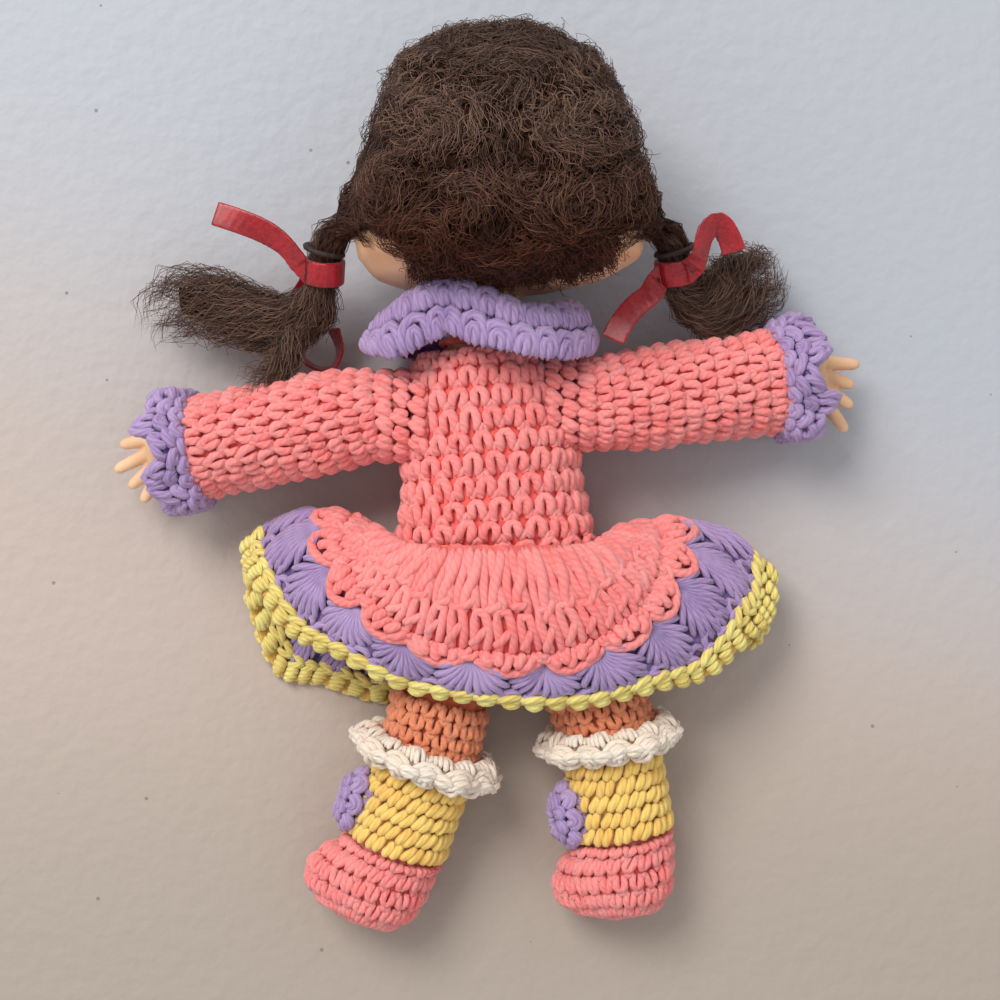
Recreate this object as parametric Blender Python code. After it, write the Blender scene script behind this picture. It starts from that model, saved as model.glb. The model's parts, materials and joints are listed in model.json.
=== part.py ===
"""A crocheted doll with a vinyl head and vinyl hands, lying on its front.

Run it with: blender --background --python part.py

The doll lies on a table at height zero, with its back up (+Z), its head towards +Y and its own left
hand towards -X. The origin is under the middle of its chest, on the table. Every piece is one closed
solid: the yarn skins are shells that are open where the stuffing goes in, the stuffing is a solid inside
each skin, and the frills are wavy sheets with a real thickness.
"""

import math

import bmesh
import bpy
from mathutils import Matrix, Vector

MM = 0.001

# Clearances and walls that many pieces share.
GAP = 0.3 * MM
YARN_WALL = 3.0 * MM
VINYL_WALL = 1.8 * MM
CUT_OVERRUN = 20.0 * MM
BISECTIONS = 20
SKIN_ROWS = 50

# Torso: a stuffed bodice, narrow at the neck and widest at the hips.
TORSO_LENGTH = 61.0 * MM
TORSO_BOTTOM_Y = -30.0 * MM
TORSO_HALF_WIDTH = 24.0 * MM
TORSO_HALF_DEPTH = 20.0 * MM
TORSO_LEAN_DEG = 4.5
TORSO_SIDES = 24
TORSO_POWER = 2.2
# Each row: along the length, half width, half depth and height of the middle, as shares.
TORSO_SHARES = (
    (0.000, 0.20, 0.16, 0.97),
    (0.045, 0.60, 0.52, 1.00),
    (0.107, 0.84, 0.70, 1.05),
    (0.185, 0.96, 0.83, 1.08),
    (0.265, 0.98, 0.92, 1.08),
    (0.345, 0.94, 0.98, 1.00),
    (0.460, 0.89, 1.00, 0.97),
    (0.620, 0.87, 1.00, 0.97),
    (0.770, 0.83, 0.96, 0.97),
    (0.870, 0.79, 0.88, 1.02),
    (0.940, 0.68, 0.77, 1.09),
    (1.000, 0.53, 0.62, 1.15),
)

# Neck and head. The neck's axis runs along +Y.
NECK_RADIUS = 8.3 * MM
NECK_X = -2.4 * MM
NECK_END_DEPTH = 7.0 * MM
NECK_FLANGE_RADIUS = 10.0 * MM
NECK_FLANGE_THICKNESS = 2.0 * MM
NECK_TOP_GAP = 13.0 * MM
NECK_SIDES = 24
HEAD_HEIGHT = 57.0 * MM
HEAD_HALF_WIDTH = 34.0 * MM
HEAD_HALF_DEPTH = 29.5 * MM
HEAD_X = 1.8 * MM
HEAD_Z = 31.3 * MM
HEAD_POWER = 2.15
HEAD_SHARES = (
    (0.000, 0.36, 0.36),
    (0.012, 0.52, 0.50),
    (0.055, 0.80, 0.72),
    (0.130, 0.97, 0.88),
    (0.230, 1.00, 0.96),
    (0.360, 0.985, 1.00),
    (0.500, 0.93, 1.00),
    (0.640, 0.84, 0.95),
    (0.770, 0.73, 0.85),
    (0.880, 0.56, 0.66),
    (0.955, 0.34, 0.41),
    (0.992, 0.13, 0.16),
)
NOSE_REACH = 1.7 * MM
NOSE_SIZE = 3.4 * MM
NOSE_HEIGHT_SHARE = 0.34
NECK_THREAD_RADIUS = 0.9 * MM

# Hair: a cap of rooted hair over the top and back of the head, with a tail tied at each side.
HAIR_TOP_THICKNESS = 5.5 * MM
HAIR_SIDE_THICKNESS = 2.6 * MM
HAIR_BACK_THICKNESS = 6.5 * MM
HAIR_NAPE_GAP = 0.6 * MM
HAIR_SIDES = 24
HAIR_SHARES = (
    (0.000, 0.50, 0.62),
    (0.035, 0.62, 0.76),
    (0.110, 0.86, 0.90),
    (0.210, 1.02, 0.98),
    (0.340, 1.00, 1.00),
    (0.480, 0.94, 1.00),
    (0.620, 0.855, 0.96),
    (0.750, 0.76, 0.86),
    (0.860, 0.62, 0.70),
    (0.940, 0.42, 0.49),
    (0.985, 0.20, 0.25),
)
# The hairline seen from the side: along the hair's length, and height as a share of the hair's depth.
HAIRLINE_SHARES = (
    (-0.10, 0.62),
    (0.05, 0.56),
    (0.12, 0.36),
    (0.20, 0.27),
    (0.48, 0.20),
    (0.80, 0.13),
    (1.10, 0.13),
)

# Tails of hair. A tail's route is given from its root, as shares of the tail's reach.
ROOT_BALL_RADIUS = 3.8 * MM
ROOT_SEAT = 1.7 * MM
ROOT_ALONG_SHARE = 0.215
ROOT_HEIGHT_SHARE = 0.80
TIE_THICKNESS = 1.5 * MM
TAIL_SIDES = 12
TAIL_REACH = 50.0 * MM
# Each row: outward, towards the head, height over the root, half width and half thickness.
LEFT_TAIL_SHARES = (
    (0.044, -0.080, -0.024, 0.070, 0.070),
    (0.048, -0.172, -0.056, 0.058, 0.058),
    (0.060, -0.260, -0.092, 0.070, 0.068),
    (0.108, -0.352, -0.148, 0.116, 0.092),
    (0.240, -0.428, -0.212, 0.164, 0.100),
    (0.428, -0.392, -0.248, 0.196, 0.100),
    (0.608, -0.320, -0.272, 0.216, 0.092),
    (0.768, -0.268, -0.292, 0.208, 0.080),
    (0.904, -0.292, -0.312, 0.148, 0.064),
    (0.980, -0.336, -0.328, 0.072, 0.040),
)
RIGHT_TAIL_SHARES = (
    (0.044, -0.080, -0.024, 0.070, 0.070),
    (0.048, -0.172, -0.048, 0.058, 0.058),
    (0.068, -0.256, -0.084, 0.068, 0.066),
    (0.148, -0.320, -0.136, 0.116, 0.092),
    (0.272, -0.296, -0.180, 0.180, 0.100),
    (0.392, -0.224, -0.216, 0.200, 0.092),
    (0.496, -0.168, -0.240, 0.156, 0.072),
    (0.564, -0.136, -0.260, 0.068, 0.040),
)
TIE_ROW = 1

# Ribbons: satin strips tied round each tail.
RIBBON_WIDTH = 5.8 * MM
RIBBON_THICKNESS = 0.7 * MM
RIBBON_REACH = 25.0 * MM
RIBBON_STEPS = 3
KNOT_THICKNESS = 1.2 * MM
KNOT_SIDES = 14
ELASTIC_RING_SIDES = 6
# Each route's points are from the tail's tie, as shares of the ribbon's reach: outward, towards the head,
# up, and how far the strip's width is turned out of the table's plane, in degrees. The first point is only
# the way that the strip sets off.
LEFT_STREAMER_SHARES = (
    (0.120, 0.048, 0.136, 70.0),
    (0.344, 0.208, 0.192, 40.0),
    (0.544, 0.344, 0.216, 20.0),
    (0.776, 0.440, 0.200, 8.0),
    (1.008, 0.520, 0.160, 0.0),
)
LEFT_LOOP_SHARES = (
    (0.072, -0.016, -0.200, 0.0),
    (0.216, -0.136, -0.480, 10.0),
    (0.384, -0.344, -0.688, 40.0),
    (0.376, -0.624, -0.744, 75.0),
    (0.200, -0.840, -0.728, 80.0),
    (-0.016, -0.872, -0.680, 75.0),
    (-0.096, -0.704, -0.620, 70.0),
    (-0.040, -0.488, -0.568, 60.0),
)
RIGHT_STREAMER_SHARES = (
    (-0.152, -0.064, 0.120, 30.0),
    (-0.248, -0.240, 0.208, 20.0),
    (-0.384, -0.352, 0.240, 10.0),
    (-0.512, -0.504, 0.272, 10.0),
    (-0.608, -0.680, 0.288, 10.0),
)
RIGHT_LOOP_SHARES = (
    (0.096, 0.008, 0.176, 60.0),
    (0.200, 0.120, 0.336, 50.0),
    (0.248, 0.304, 0.384, 40.0),
    (0.368, 0.392, 0.352, 30.0),
    (0.464, 0.280, 0.312, 30.0),
    (0.520, 0.136, 0.280, 20.0),
)

# Collar: a frill round the neck that opens towards the head.
COLLAR_THICKNESS = 3.2 * MM
COLLAR_RIM_RADIUS = 25.6 * MM
COLLAR_RISE = 2.8 * MM
COLLAR_WAVES = 5
COLLAR_WAVE = 7.0 * MM
COLLAR_WAVE_PEAK_DEG = 107.0
COLLAR_CURVE = 1.3
COLLAR_SIDES = 50
COLLAR_ROWS = 2

# Arms: a sleeve of yarn, closed with a ball at the shoulder and with an end wall round the wrist.
ARM_BALL_RADIUS = 10.8 * MM
ARM_CUFF_RADIUS = 12.0 * MM
ARM_LENGTH = 42.0 * MM
ARM_SEAT = 2.0 * MM
ARM_SIDES = 16
ARM_HEIGHT_SHARE = 0.62
LEFT_ARM_ALONG_SHARE = 0.740
RIGHT_ARM_ALONG_SHARE = 0.790
LEFT_ARM_DROP_DEG = 10.2
RIGHT_ARM_DROP_DEG = -7.8
ARM_SLOPE_DEG = 10.0
ARM_SWELL_SHARES = ((0.0, 0.0), (0.28, 0.05), (0.65, 0.03), (1.0, 0.0))
CUFF_THICKNESS = 3.2 * MM
CUFF_RIM_RADIUS = 15.6 * MM
CUFF_REACH = 9.4 * MM
CUFF_WAVES = 6
CUFF_WAVE = 2.2 * MM
CUFF_SIDES = 42
CUFF_ROWS = 2

# Hands: a flat palm with four fingers and a thumb, on a wrist post with a flange inside the sleeve.
WRIST_RADIUS = 4.4 * MM
WRIST_FLANGE_RADIUS = 7.0 * MM
WRIST_FLANGE_THICKNESS = 1.6 * MM
WRIST_DEPTH = 6.0 * MM
WRIST_END_SHARE = 0.9
PALM_LENGTH = 10.0 * MM
PALM_START = 2.0 * MM
PALM_HALF_WIDTH = 6.6 * MM
PALM_HALF_THICKNESS = 3.2 * MM
# Each row: along the palm, half width and half thickness, as shares.
PALM_SHARES = ((0.25, 0.88, 0.95), (0.55, 1.0, 1.0), (0.85, 0.98, 0.86), (1.0, 0.8, 0.6))
FINGER_RADIUS = 1.8 * MM
FINGER_TIP_RADIUS = 1.25 * MM
FINGER_LENGTH = 10.0 * MM
FINGER_ROOT_SHARE = 0.84
FINGER_SINK = 0.35 * MM
FINGER_SINK_STEP = 0.13 * MM
HAND_SIDES = 12
FINGER_SIDES = 6
# Each row: place across the palm, spread in degrees, and length, as shares but for the angle.
LEFT_FINGER_ROWS = (
    (0.66, -2.0, 0.86),
    (0.22, -16.0, 1.16),
    (-0.24, -30.0, 0.96),
    (-0.66, -46.0, 0.84),
)
RIGHT_FINGER_ROWS = (
    (0.50, -10.0, 1.12),
    (0.12, -26.0, 1.00),
    (-0.28, -40.0, 1.04),
    (-0.66, -60.0, 1.14),
)
THUMB_ALONG_SHARE = 0.50
THUMB_SPREAD_DEG = 38.0
THUMB_LENGTH_SHARE = 0.80

# Legs: a thigh with a ball at the hip, then a boot and a shoe that twist together.
HIP_BALL_RADIUS = 11.9 * MM
LEFT_HIP_X = -8.6 * MM
RIGHT_HIP_X = 20.2 * MM
HIP_SEAT = 2.1 * MM
HIP_HEIGHT = 16.8 * MM
LEFT_THIGH_LENGTH = 28.0 * MM
RIGHT_THIGH_LENGTH = 26.0 * MM
LEFT_THIGH_SPLAY_DEG = 14.0
RIGHT_THIGH_SPLAY_DEG = 17.0
LEG_SLOPE_DEG = 1.6
KNEE_RADIUS = 11.5 * MM
LEG_SIDES = 16
BOOT_LENGTH = 24.0 * MM
BOOT_TOP_RADIUS = 11.5 * MM
BOOT_ANKLE_RADIUS = 11.9 * MM
LEFT_BOOT_SPLAY_DEG = 19.0
RIGHT_BOOT_SPLAY_DEG = 9.0
BOOT_SLOPE_DEG = 5.0
SHOE_HEIGHT = 19.5 * MM
SHOE_TOE_REACH = 19.6 * MM
SHOE_HEEL_REACH = 11.0 * MM
SHOE_HALF_WIDTH = 11.9 * MM
# Each row: along the shoe's height, toe reach, heel reach and half width, as shares of their sizes.
SHOE_SHARES = (
    (0.18, 0.76, 1.02, 0.99),
    (0.40, 0.95, 1.00, 1.00),
    (0.64, 1.00, 0.94, 0.96),
    (0.84, 0.84, 0.74, 0.76),
    (0.97, 0.44, 0.40, 0.40),
)
LEFT_TOE_TURN_DEG = 4.0
RIGHT_TOE_TURN_DEG = 10.0

# Sock ruffle: a white frill round the top of each boot.
RUFFLE_HEIGHT = 9.4 * MM
RUFFLE_ALONG = 0.6 * MM
RUFFLE_REACH = 5.4 * MM
RUFFLE_WAVES = 9
RUFFLE_WAVE = 0.8 * MM
RUFFLE_SIDES = 36
RUFFLE_RING_SIDES = 6

# Boot bow: a small crocheted oval on the front of each boot.
BOW_HALF_LENGTH = 7.0 * MM
BOW_HALF_WIDTH = 4.4 * MM
BOW_THICKNESS = 5.0 * MM
BOW_ALONG_SHARE = 0.56
BOW_SEAT = 1.0 * MM
BOW_SIDES = 12

# Skirt: one flared round of cloth, in a coral flounce, a lilac band and a yellow edging.
SKIRT_THICKNESS = 3.2 * MM
SKIRT_ALONG_SHARE = 0.245
SKIRT_HEM_HALF_WIDTH = 64.0 * MM
SKIRT_HEM_BACK = 36.5 * MM
SKIRT_HEM_FRONT = 39.5 * MM
SKIRT_FRONT_POWER = 0.5
SKIRT_FRONT_LEAN_DEG = -3.0
SKIRT_HEM_X = 4.2 * MM
SKIRT_LEAN_DEG = 4.0
SKIRT_SIDE_HEIGHT = 12.5 * MM
SKIRT_BACK_HEIGHT = 33.5 * MM
SKIRT_BACK_BULGE = 4.5 * MM
SKIRT_SIDE_ARCH = 7.5 * MM
SKIRT_SIDE_DROP = 3.0 * MM
SKIRT_FRONT_FALL = 2.2
SKIRT_WAVES = 11
SKIRT_WAVE = 1.5 * MM
SKIRT_WAVE_PHASE = 0.8
SKIRT_SEAM = 0.5 * MM
SKIRT_SIDES = 56
FLOUNCE_END_SHARE = 0.58
BAND_END_SHARE = 0.90
FLOUNCE_ROWS = 3
BAND_ROWS = 2
EDGING_ROWS = 1
SURFACE_STEP = 0.01

CORAL = (0.93, 0.33, 0.30)
LILAC = (0.50, 0.43, 0.74)
YELLOW = (0.90, 0.78, 0.30)
ORANGE = (0.88, 0.36, 0.17)
WHITE = (0.88, 0.85, 0.80)
RED = (0.62, 0.02, 0.03)
SKIN = (0.86, 0.60, 0.43)
BROWN = (0.07, 0.045, 0.035)
FILL = (0.90, 0.90, 0.88)


def clear_scene():
    for old in list(bpy.data.objects):
        bpy.data.objects.remove(old, do_unlink=True)


def material(name, colour, roughness, metallic=0.0):
    made = bpy.data.materials.new(name)
    made.use_nodes = True
    shader = made.node_tree.nodes["Principled BSDF"]
    shader.inputs["Base Color"].default_value = (*colour, 1.0)
    shader.inputs["Roughness"].default_value = roughness
    shader.inputs["Metallic"].default_value = metallic
    return made


def yarn(name, colour):
    return material(name, colour, 0.9)


def add_object(name, rings, finish, closed=False):
    """Skins the rings in order into one closed mesh. A ring of one point is a pole."""
    mesh = bpy.data.meshes.new(name)
    shape = bmesh.new()
    rows = [[shape.verts.new(point) for point in ring] for ring in rings]
    pairs = list(zip(rows, rows[1:]))
    if closed:
        pairs.append((rows[-1], rows[0]))
    for low, high in pairs:
        count = max(len(low), len(high))
        for i in range(count):
            j = (i + 1) % count
            if len(low) == 1:
                shape.faces.new((low[0], high[j], high[i]))
            elif len(high) == 1:
                shape.faces.new((low[i], low[j], high[0]))
            else:
                shape.faces.new((low[i], low[j], high[j], high[i]))
    bmesh.ops.recalc_face_normals(shape, faces=shape.faces)
    shape.to_mesh(mesh)
    shape.free()
    mesh.shade_smooth()
    mesh.materials.append(finish)
    made = bpy.data.objects.new(name, mesh)
    bpy.context.scene.collection.objects.link(made)
    return made


def hide(helper):
    """Marks a cutter, which shapes another piece and is no piece itself."""
    helper.hide_render = True
    helper.display_type = "WIRE"
    return helper


def boolean(target, helper, operation):
    cut = target.modifiers.new(operation.lower() + "_" + helper.name, "BOOLEAN")
    cut.operation = operation
    cut.solver = "EXACT"
    cut.object = hide(helper)
    return target


def ball(name, centre, radius, finish, sides=24, rows=12):
    rings = [[centre - Vector((0, 0, radius))]]
    for i in range(1, rows):
        angle = math.pi * i / rows
        height = centre - Vector((0, 0, radius * math.cos(angle)))
        rings.append(ring(height, Vector((1, 0, 0)), Vector((0, 1, 0)), *[radius * math.sin(angle)] * 2, sides))
    rings.append([centre + Vector((0, 0, radius))])
    return add_object(name, rings, finish)


def table_box(finish):
    """The space under the table's top, which flattens what lies on it."""
    reach = TORSO_LENGTH * 3
    low = Vector((-reach, -reach, -CUT_OVERRUN))
    corners = [(low.x, low.y), (reach, low.y), (reach, reach), (low.x, reach)]
    rings = [[Vector((x, y, z)) for x, y in corners] for z in (low.z, 0.0)]
    middle = [Vector((0, 0, low.z))], [Vector((0, 0, 0))]
    return add_object("under_the_table", [middle[0], *rings, middle[1]], finish)


def ring(centre, across, up, half_across, half_up, sides, power=2.0):
    """Points round a superellipse: power 2 is an ellipse, and more is squarer."""
    points = []
    for i in range(sides):
        angle = math.tau * i / sides
        c, s = math.cos(angle), math.sin(angle)
        x = math.copysign(abs(c) ** (2 / power), c) * half_across
        y = math.copysign(abs(s) ** (2 / power), s) * half_up
        points.append(centre + across * x + up * y)
    return points


def smooth_read(rows, share):
    """A smooth curve through rows of shares, read at one place. The first column says where each row is."""
    if share <= rows[0][0]:
        return rows[0][1:]
    for i in range(len(rows) - 1):
        if share <= rows[i + 1][0]:
            break
    before, low = rows[max(i - 1, 0)], rows[i]
    high, after = rows[i + 1], rows[min(i + 2, len(rows) - 1)]
    t = min(1.0, (share - low[0]) / (high[0] - low[0]))
    found = []
    for k in range(1, len(low)):
        start = (high[k] - before[k]) * (high[0] - low[0]) / max(high[0] - before[0], 1e-9)
        end = (after[k] - low[k]) * (high[0] - low[0]) / max(after[0] - low[0], 1e-9)
        found.append(
            low[k] * (2 * t**3 - 3 * t**2 + 1) + start * (t**3 - 2 * t**2 + t)
            + high[k] * (3 * t**2 - 2 * t**3) + end * (t**3 - t**2)
        )
    return tuple(found)


X, Y, Z = Vector((1, 0, 0)), Vector((0, 1, 0)), Vector((0, 0, 1))


def torso_section(y):
    """Middle point, half width and half depth of the torso at one place along it."""
    width, depth, height = smooth_read(TORSO_SHARES, (y - TORSO_BOTTOM_Y) / TORSO_LENGTH)
    lean = -math.tan(math.radians(TORSO_LEAN_DEG)) * y
    middle = Vector((lean, y, height * TORSO_HALF_DEPTH))
    return middle, width * TORSO_HALF_WIDTH, depth * TORSO_HALF_DEPTH


def torso_excess(point):
    """Under 0 inside the torso, over 0 outside it."""
    top = TORSO_BOTTOM_Y + TORSO_LENGTH
    if not TORSO_BOTTOM_Y < point.y < top:
        return 1.0
    middle, width, depth = torso_section(point.y)
    across, up = abs(point.x - middle.x) / width, abs(point.z - middle.z) / depth
    return across**TORSO_POWER + up**TORSO_POWER - 1


def torso_surface(start, direction):
    """Where a line from inside the torso comes out of it."""
    inner, outer = 0.0, TORSO_LENGTH
    for _ in range(BISECTIONS):
        middle = (inner + outer) / 2
        if torso_excess(start + direction * middle) < 0:
            inner = middle
        else:
            outer = middle
    return start + direction * inner


def torso_skin():
    """Points all over the torso's surface, a millimetre or two apart."""
    points = []
    for i in range(SKIN_ROWS):
        middle, width, depth = torso_section(TORSO_BOTTOM_Y + TORSO_LENGTH * i / SKIN_ROWS)
        points += ring(middle, X, Z, width, depth, 3 * TORSO_SIDES, TORSO_POWER)
    return points


def seated_ball(start, direction, radius, seat):
    """Where a limb's ball goes: out along a direction, until it sinks into the torso by its seat's depth."""
    skin = torso_skin()
    near, far = torso_surface(start, direction), start + direction * (TORSO_LENGTH * 2)
    for _ in range(BISECTIONS):
        middle = (near + far) / 2
        if min((point - middle).length for point in skin) < radius - seat:
            near = middle
        else:
            far = middle
    return near


TORSO_TOP_Y = TORSO_BOTTOM_Y + TORSO_LENGTH
NECK_Z = torso_section(TORSO_TOP_Y)[0].z
HEAD_BOTTOM_Y = TORSO_TOP_Y + NECK_TOP_GAP


def torso_rings(shrink, start_share, end_share):
    rings = []
    stations = [row[0] for row in TORSO_SHARES if start_share <= row[0] <= end_share]
    for share in stations:
        middle, width, depth = torso_section(TORSO_BOTTOM_Y + share * TORSO_LENGTH)
        if min(width, depth) > shrink:
            rings.append(ring(middle, X, Z, width - shrink, depth - shrink, TORSO_SIDES, TORSO_POWER))
    return rings


def shifted(points, move):
    return [point + move for point in points]


def torso_cover(finish):
    """The bodice: a shell that is open at the neck, where the stuffing goes in."""
    outer = torso_rings(0.0, 0.0, 1.0)
    inner = torso_rings(YARN_WALL, 0.04, 0.95)
    inner = [shifted(inner[0], Y * (YARN_WALL / 2)), *inner[1:]]
    top = Vector((NECK_X, TORSO_TOP_Y, NECK_Z))
    hole = NECK_RADIUS + GAP
    rim = ring(top, X, Z, hole, hole, TORSO_SIDES)
    rim_inner = shifted(rim, Y * -YARN_WALL)
    roof = NECK_FLANGE_RADIUS + 2 * GAP
    inner.append(ring(top - Y * YARN_WALL, X, Z, roof, roof, TORSO_SIDES))
    bottom = [sum(outer[0], Vector()) / TORSO_SIDES]
    inner_bottom = [sum(inner[0], Vector()) / TORSO_SIDES]
    return add_object("bodice", [bottom, *outer, rim, rim_inner, *reversed(inner), inner_bottom], finish)


def torso_stuffing(finish):
    shrink = YARN_WALL + GAP
    rings = torso_rings(shrink, 0.04, 0.88)
    rings = [shifted(rings[0], Y * (shrink / 2)), *rings[1:]]
    low = [sum(rings[0], Vector()) / TORSO_SIDES]
    high = [sum(rings[-1], Vector()) / TORSO_SIDES]
    return add_object("body_stuffing", [low, *rings, high], finish)


def head_section(share):
    width, depth = smooth_read(HEAD_SHARES, share)
    return width * HEAD_HALF_WIDTH, depth * HEAD_HALF_DEPTH


def head_middle(share):
    """The head's middle line: from the neck's axis to the middle of the skull."""
    settle = min(1.0, share / HEAD_SHARES[3][0])
    x = NECK_X + (HEAD_X - NECK_X) * settle
    z = NECK_Z + (HEAD_Z - NECK_Z) * settle
    return Vector((x, HEAD_BOTTOM_Y + share * HEAD_HEIGHT, z))


def head_rings(grow, sides=NECK_SIDES):
    rings = []
    for row in HEAD_SHARES[1:]:
        width, depth = head_section(row[0])
        middle = head_middle(row[0])
        rings.append(ring(middle, X, Z, width + grow, depth + grow, sides, HEAD_POWER))
    return rings


def with_nose(rings):
    """A small button nose on the face, which looks down at the table."""
    tip = Vector((HEAD_X, HEAD_BOTTOM_Y + NOSE_HEIGHT_SHARE * HEAD_HEIGHT, HEAD_Z - HEAD_HALF_DEPTH))
    shaped = []
    for points in rings:
        row = []
        for point in points:
            away = (point - tip).length / NOSE_SIZE
            row.append(point - Z * (NOSE_REACH * math.exp(-away * away)))
        shaped.append(row)
    return shaped


def neck_ring(y, radius, sides=NECK_SIDES):
    return ring(Vector((NECK_X, y, NECK_Z)), X, Z, radius, radius, sides)


def head_shell(finish):
    """The vinyl head: hollow, with a neck that ends in a flange inside the bodice."""
    flange_top = TORSO_TOP_Y - YARN_WALL - GAP
    flange_low = flange_top - NECK_FLANGE_THICKNESS
    bore = NECK_RADIUS - VINYL_WALL
    outer = [
        neck_ring(flange_low, NECK_FLANGE_RADIUS),
        neck_ring(flange_top, NECK_FLANGE_RADIUS),
        neck_ring(flange_top, NECK_RADIUS),
        neck_ring((flange_top + HEAD_BOTTOM_Y) / 2, NECK_RADIUS),
        neck_ring(HEAD_BOTTOM_Y, NECK_RADIUS),
        *with_nose(head_rings(0.0)),
    ]
    crown = [head_middle(1.0)]
    inner = head_rings(-VINYL_WALL)[1:-1]
    inner_crown = [head_middle(1.0) - Y * VINYL_WALL]
    neck_inner = [neck_ring(HEAD_BOTTOM_Y + VINYL_WALL, bore), neck_ring(flange_low, bore)]
    rings = [crown, *reversed(outer), *reversed(neck_inner), *inner, inner_crown]
    return add_object("head", rings, finish)


def hair_low_y():
    return HEAD_BOTTOM_Y + HAIR_NAPE_GAP


def hair_length():
    return HEAD_HEIGHT + HAIR_TOP_THICKNESS - HAIR_NAPE_GAP


def hair_middle(share):
    """The hair is thick at the back and thin at the front, so its middle is further back than the head's."""
    back = (HAIR_BACK_THICKNESS - HAIR_SIDE_THICKNESS) / 2
    return Vector((HEAD_X, hair_low_y() + share * hair_length(), HEAD_Z + back))


def hair_half_depth():
    return HEAD_HALF_DEPTH + (HAIR_BACK_THICKNESS + HAIR_SIDE_THICKNESS) / 2


def hair_section(share):
    width, depth = smooth_read(HAIR_SHARES, share)
    return width * (HEAD_HALF_WIDTH + HAIR_SIDE_THICKNESS), depth * hair_half_depth()


def hair_rings(grow=0.0):
    rings = []
    for row in HAIR_SHARES:
        width, depth = hair_section(row[0])
        rings.append(ring(hair_middle(row[0]), X, Z, width + grow, depth + grow, HAIR_SIDES, HEAD_POWER))
    return rings


def face_cutter(finish):
    """Takes the hair off the face: everything under the hairline, seen from the side."""
    depth = 2 * hair_half_depth()
    floor = hair_middle(0.0).z - hair_half_depth()
    line = [(hair_low_y() + a * hair_length(), floor + h * depth) for a, h in HAIRLINE_SHARES]
    outline = [*line, (line[-1][0], floor - CUT_OVERRUN), (line[0][0], floor - CUT_OVERRUN)]
    reach = HEAD_HALF_WIDTH + CUT_OVERRUN
    sides = [[Vector((x, y, z)) for y, z in outline] for x in (-reach, reach)]
    mesh_rings = [[sum(sides[0], Vector()) / len(outline)], *sides, [sum(sides[1], Vector()) / len(outline)]]
    return add_object("face_cutter", mesh_rings, finish)


def head_cutter(finish):
    """The head with its clearance, which hollows the hair. It runs on down, past the hair's lower edge."""
    below = neck_ring(HEAD_BOTTOM_Y - GAP, NECK_RADIUS + GAP)
    base = neck_ring(HEAD_BOTTOM_Y - CUT_OVERRUN, NECK_RADIUS + GAP)
    bottom = [Vector((NECK_X, HEAD_BOTTOM_Y - CUT_OVERRUN, NECK_Z))]
    crown = [head_middle(1.0) + Y * GAP]
    return add_object("head_cutter", [bottom, base, below, *head_rings(GAP), crown], finish)


def tail_root(side):
    """The middle of the ball where a tail of hair leaves the head. Side is -1 for the doll's left."""
    width, depth = hair_section(ROOT_ALONG_SHARE)
    middle = hair_middle(ROOT_ALONG_SHARE)
    height = (ROOT_HEIGHT_SHARE - 1) * depth
    narrowing = (1 - abs(height / depth) ** HEAD_POWER) ** (1 / HEAD_POWER)
    out = width * narrowing + ROOT_BALL_RADIUS - ROOT_SEAT
    return middle + X * (side * out) + Z * height


def hair_cap(finish):
    rings = hair_rings()
    crown = [hair_middle(1.0)]
    low = [hair_middle(0.0)]
    cap = add_object("hair_cap", [low, *rings, crown], finish)
    boolean(cap, face_cutter(finish), "DIFFERENCE")
    boolean(cap, head_cutter(finish), "DIFFERENCE")
    for side, word in ((-1, "left"), (1, "right")):
        seat = ball(word + "_tail_seat", tail_root(side), ROOT_BALL_RADIUS + GAP, finish)
        boolean(cap, seat, "DIFFERENCE")
    return cap


def side_point(origin, side, row, reach):
    """A point that a route gives as shares of a reach, mirrored to the side that it belongs to."""
    return origin + Vector((side * row[0], row[1], row[2])) * reach


def along_route(points, i):
    ahead = points[min(i + 1, len(points) - 1)]
    behind = points[max(i - 1, 0)]
    return (ahead - behind).normalized()


def tail_rings(side, rows):
    root = tail_root(side)
    points = [side_point(root, side, row, TAIL_REACH) for row in rows]
    rings = []
    for i, row in enumerate(rows):
        forward = along_route([root, *points], i + 1)
        across = forward.cross(Z).normalized()
        up = across.cross(forward)
        rings.append(ring(points[i], across, up, row[3] * TAIL_REACH, row[4] * TAIL_REACH, TAIL_SIDES))
    return root, points, rings


def hair_tail(word, side, rows, finish):
    """A tail: a ball in its seat on the head, a neck at the tie, and a flat fan of hair on the table."""
    root, points, rings = tail_rings(side, rows)
    forward = (points[0] - root).normalized()
    across = forward.cross(Z).normalized()
    up = across.cross(forward)
    start = [root - forward * ROOT_BALL_RADIUS]
    dome = []
    for i in range(1, 5):
        angle = math.pi / 2 * i / 4
        middle = root - forward * (ROOT_BALL_RADIUS * math.cos(angle))
        radius = ROOT_BALL_RADIUS * math.sin(angle)
        dome.append(ring(middle, across, up, radius, radius, TAIL_SIDES))
    tip = [points[-1] + along_route(points, len(points) - 1) * (rows[-1][4] * TAIL_REACH)]
    return add_object(word + "_hair_tail", [start, *dome, *rings, tip], finish)


def tie_frame(side, rows):
    """Where the tie goes round a tail: its middle, the tail's direction there, and the tail's size."""
    root, points, _ = tail_rings(side, rows)
    forward = along_route([root, *points], TIE_ROW + 1)
    size = max(*rows[TIE_ROW][3:], *rows[TIE_ROW + 1][3:])
    return points[TIE_ROW], forward, size * TAIL_REACH


def torus_rings(middle, axis, radius, half_radial, half_along, sides, ring_sides):
    across = axis.cross(Z).normalized()
    up = across.cross(axis)
    rings = []
    for i in range(sides):
        angle = math.tau * i / sides
        out = across * math.cos(angle) + up * math.sin(angle)
        rings.append(ring(middle + out * radius, out, axis, half_radial, half_along, ring_sides))
    return rings


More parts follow.
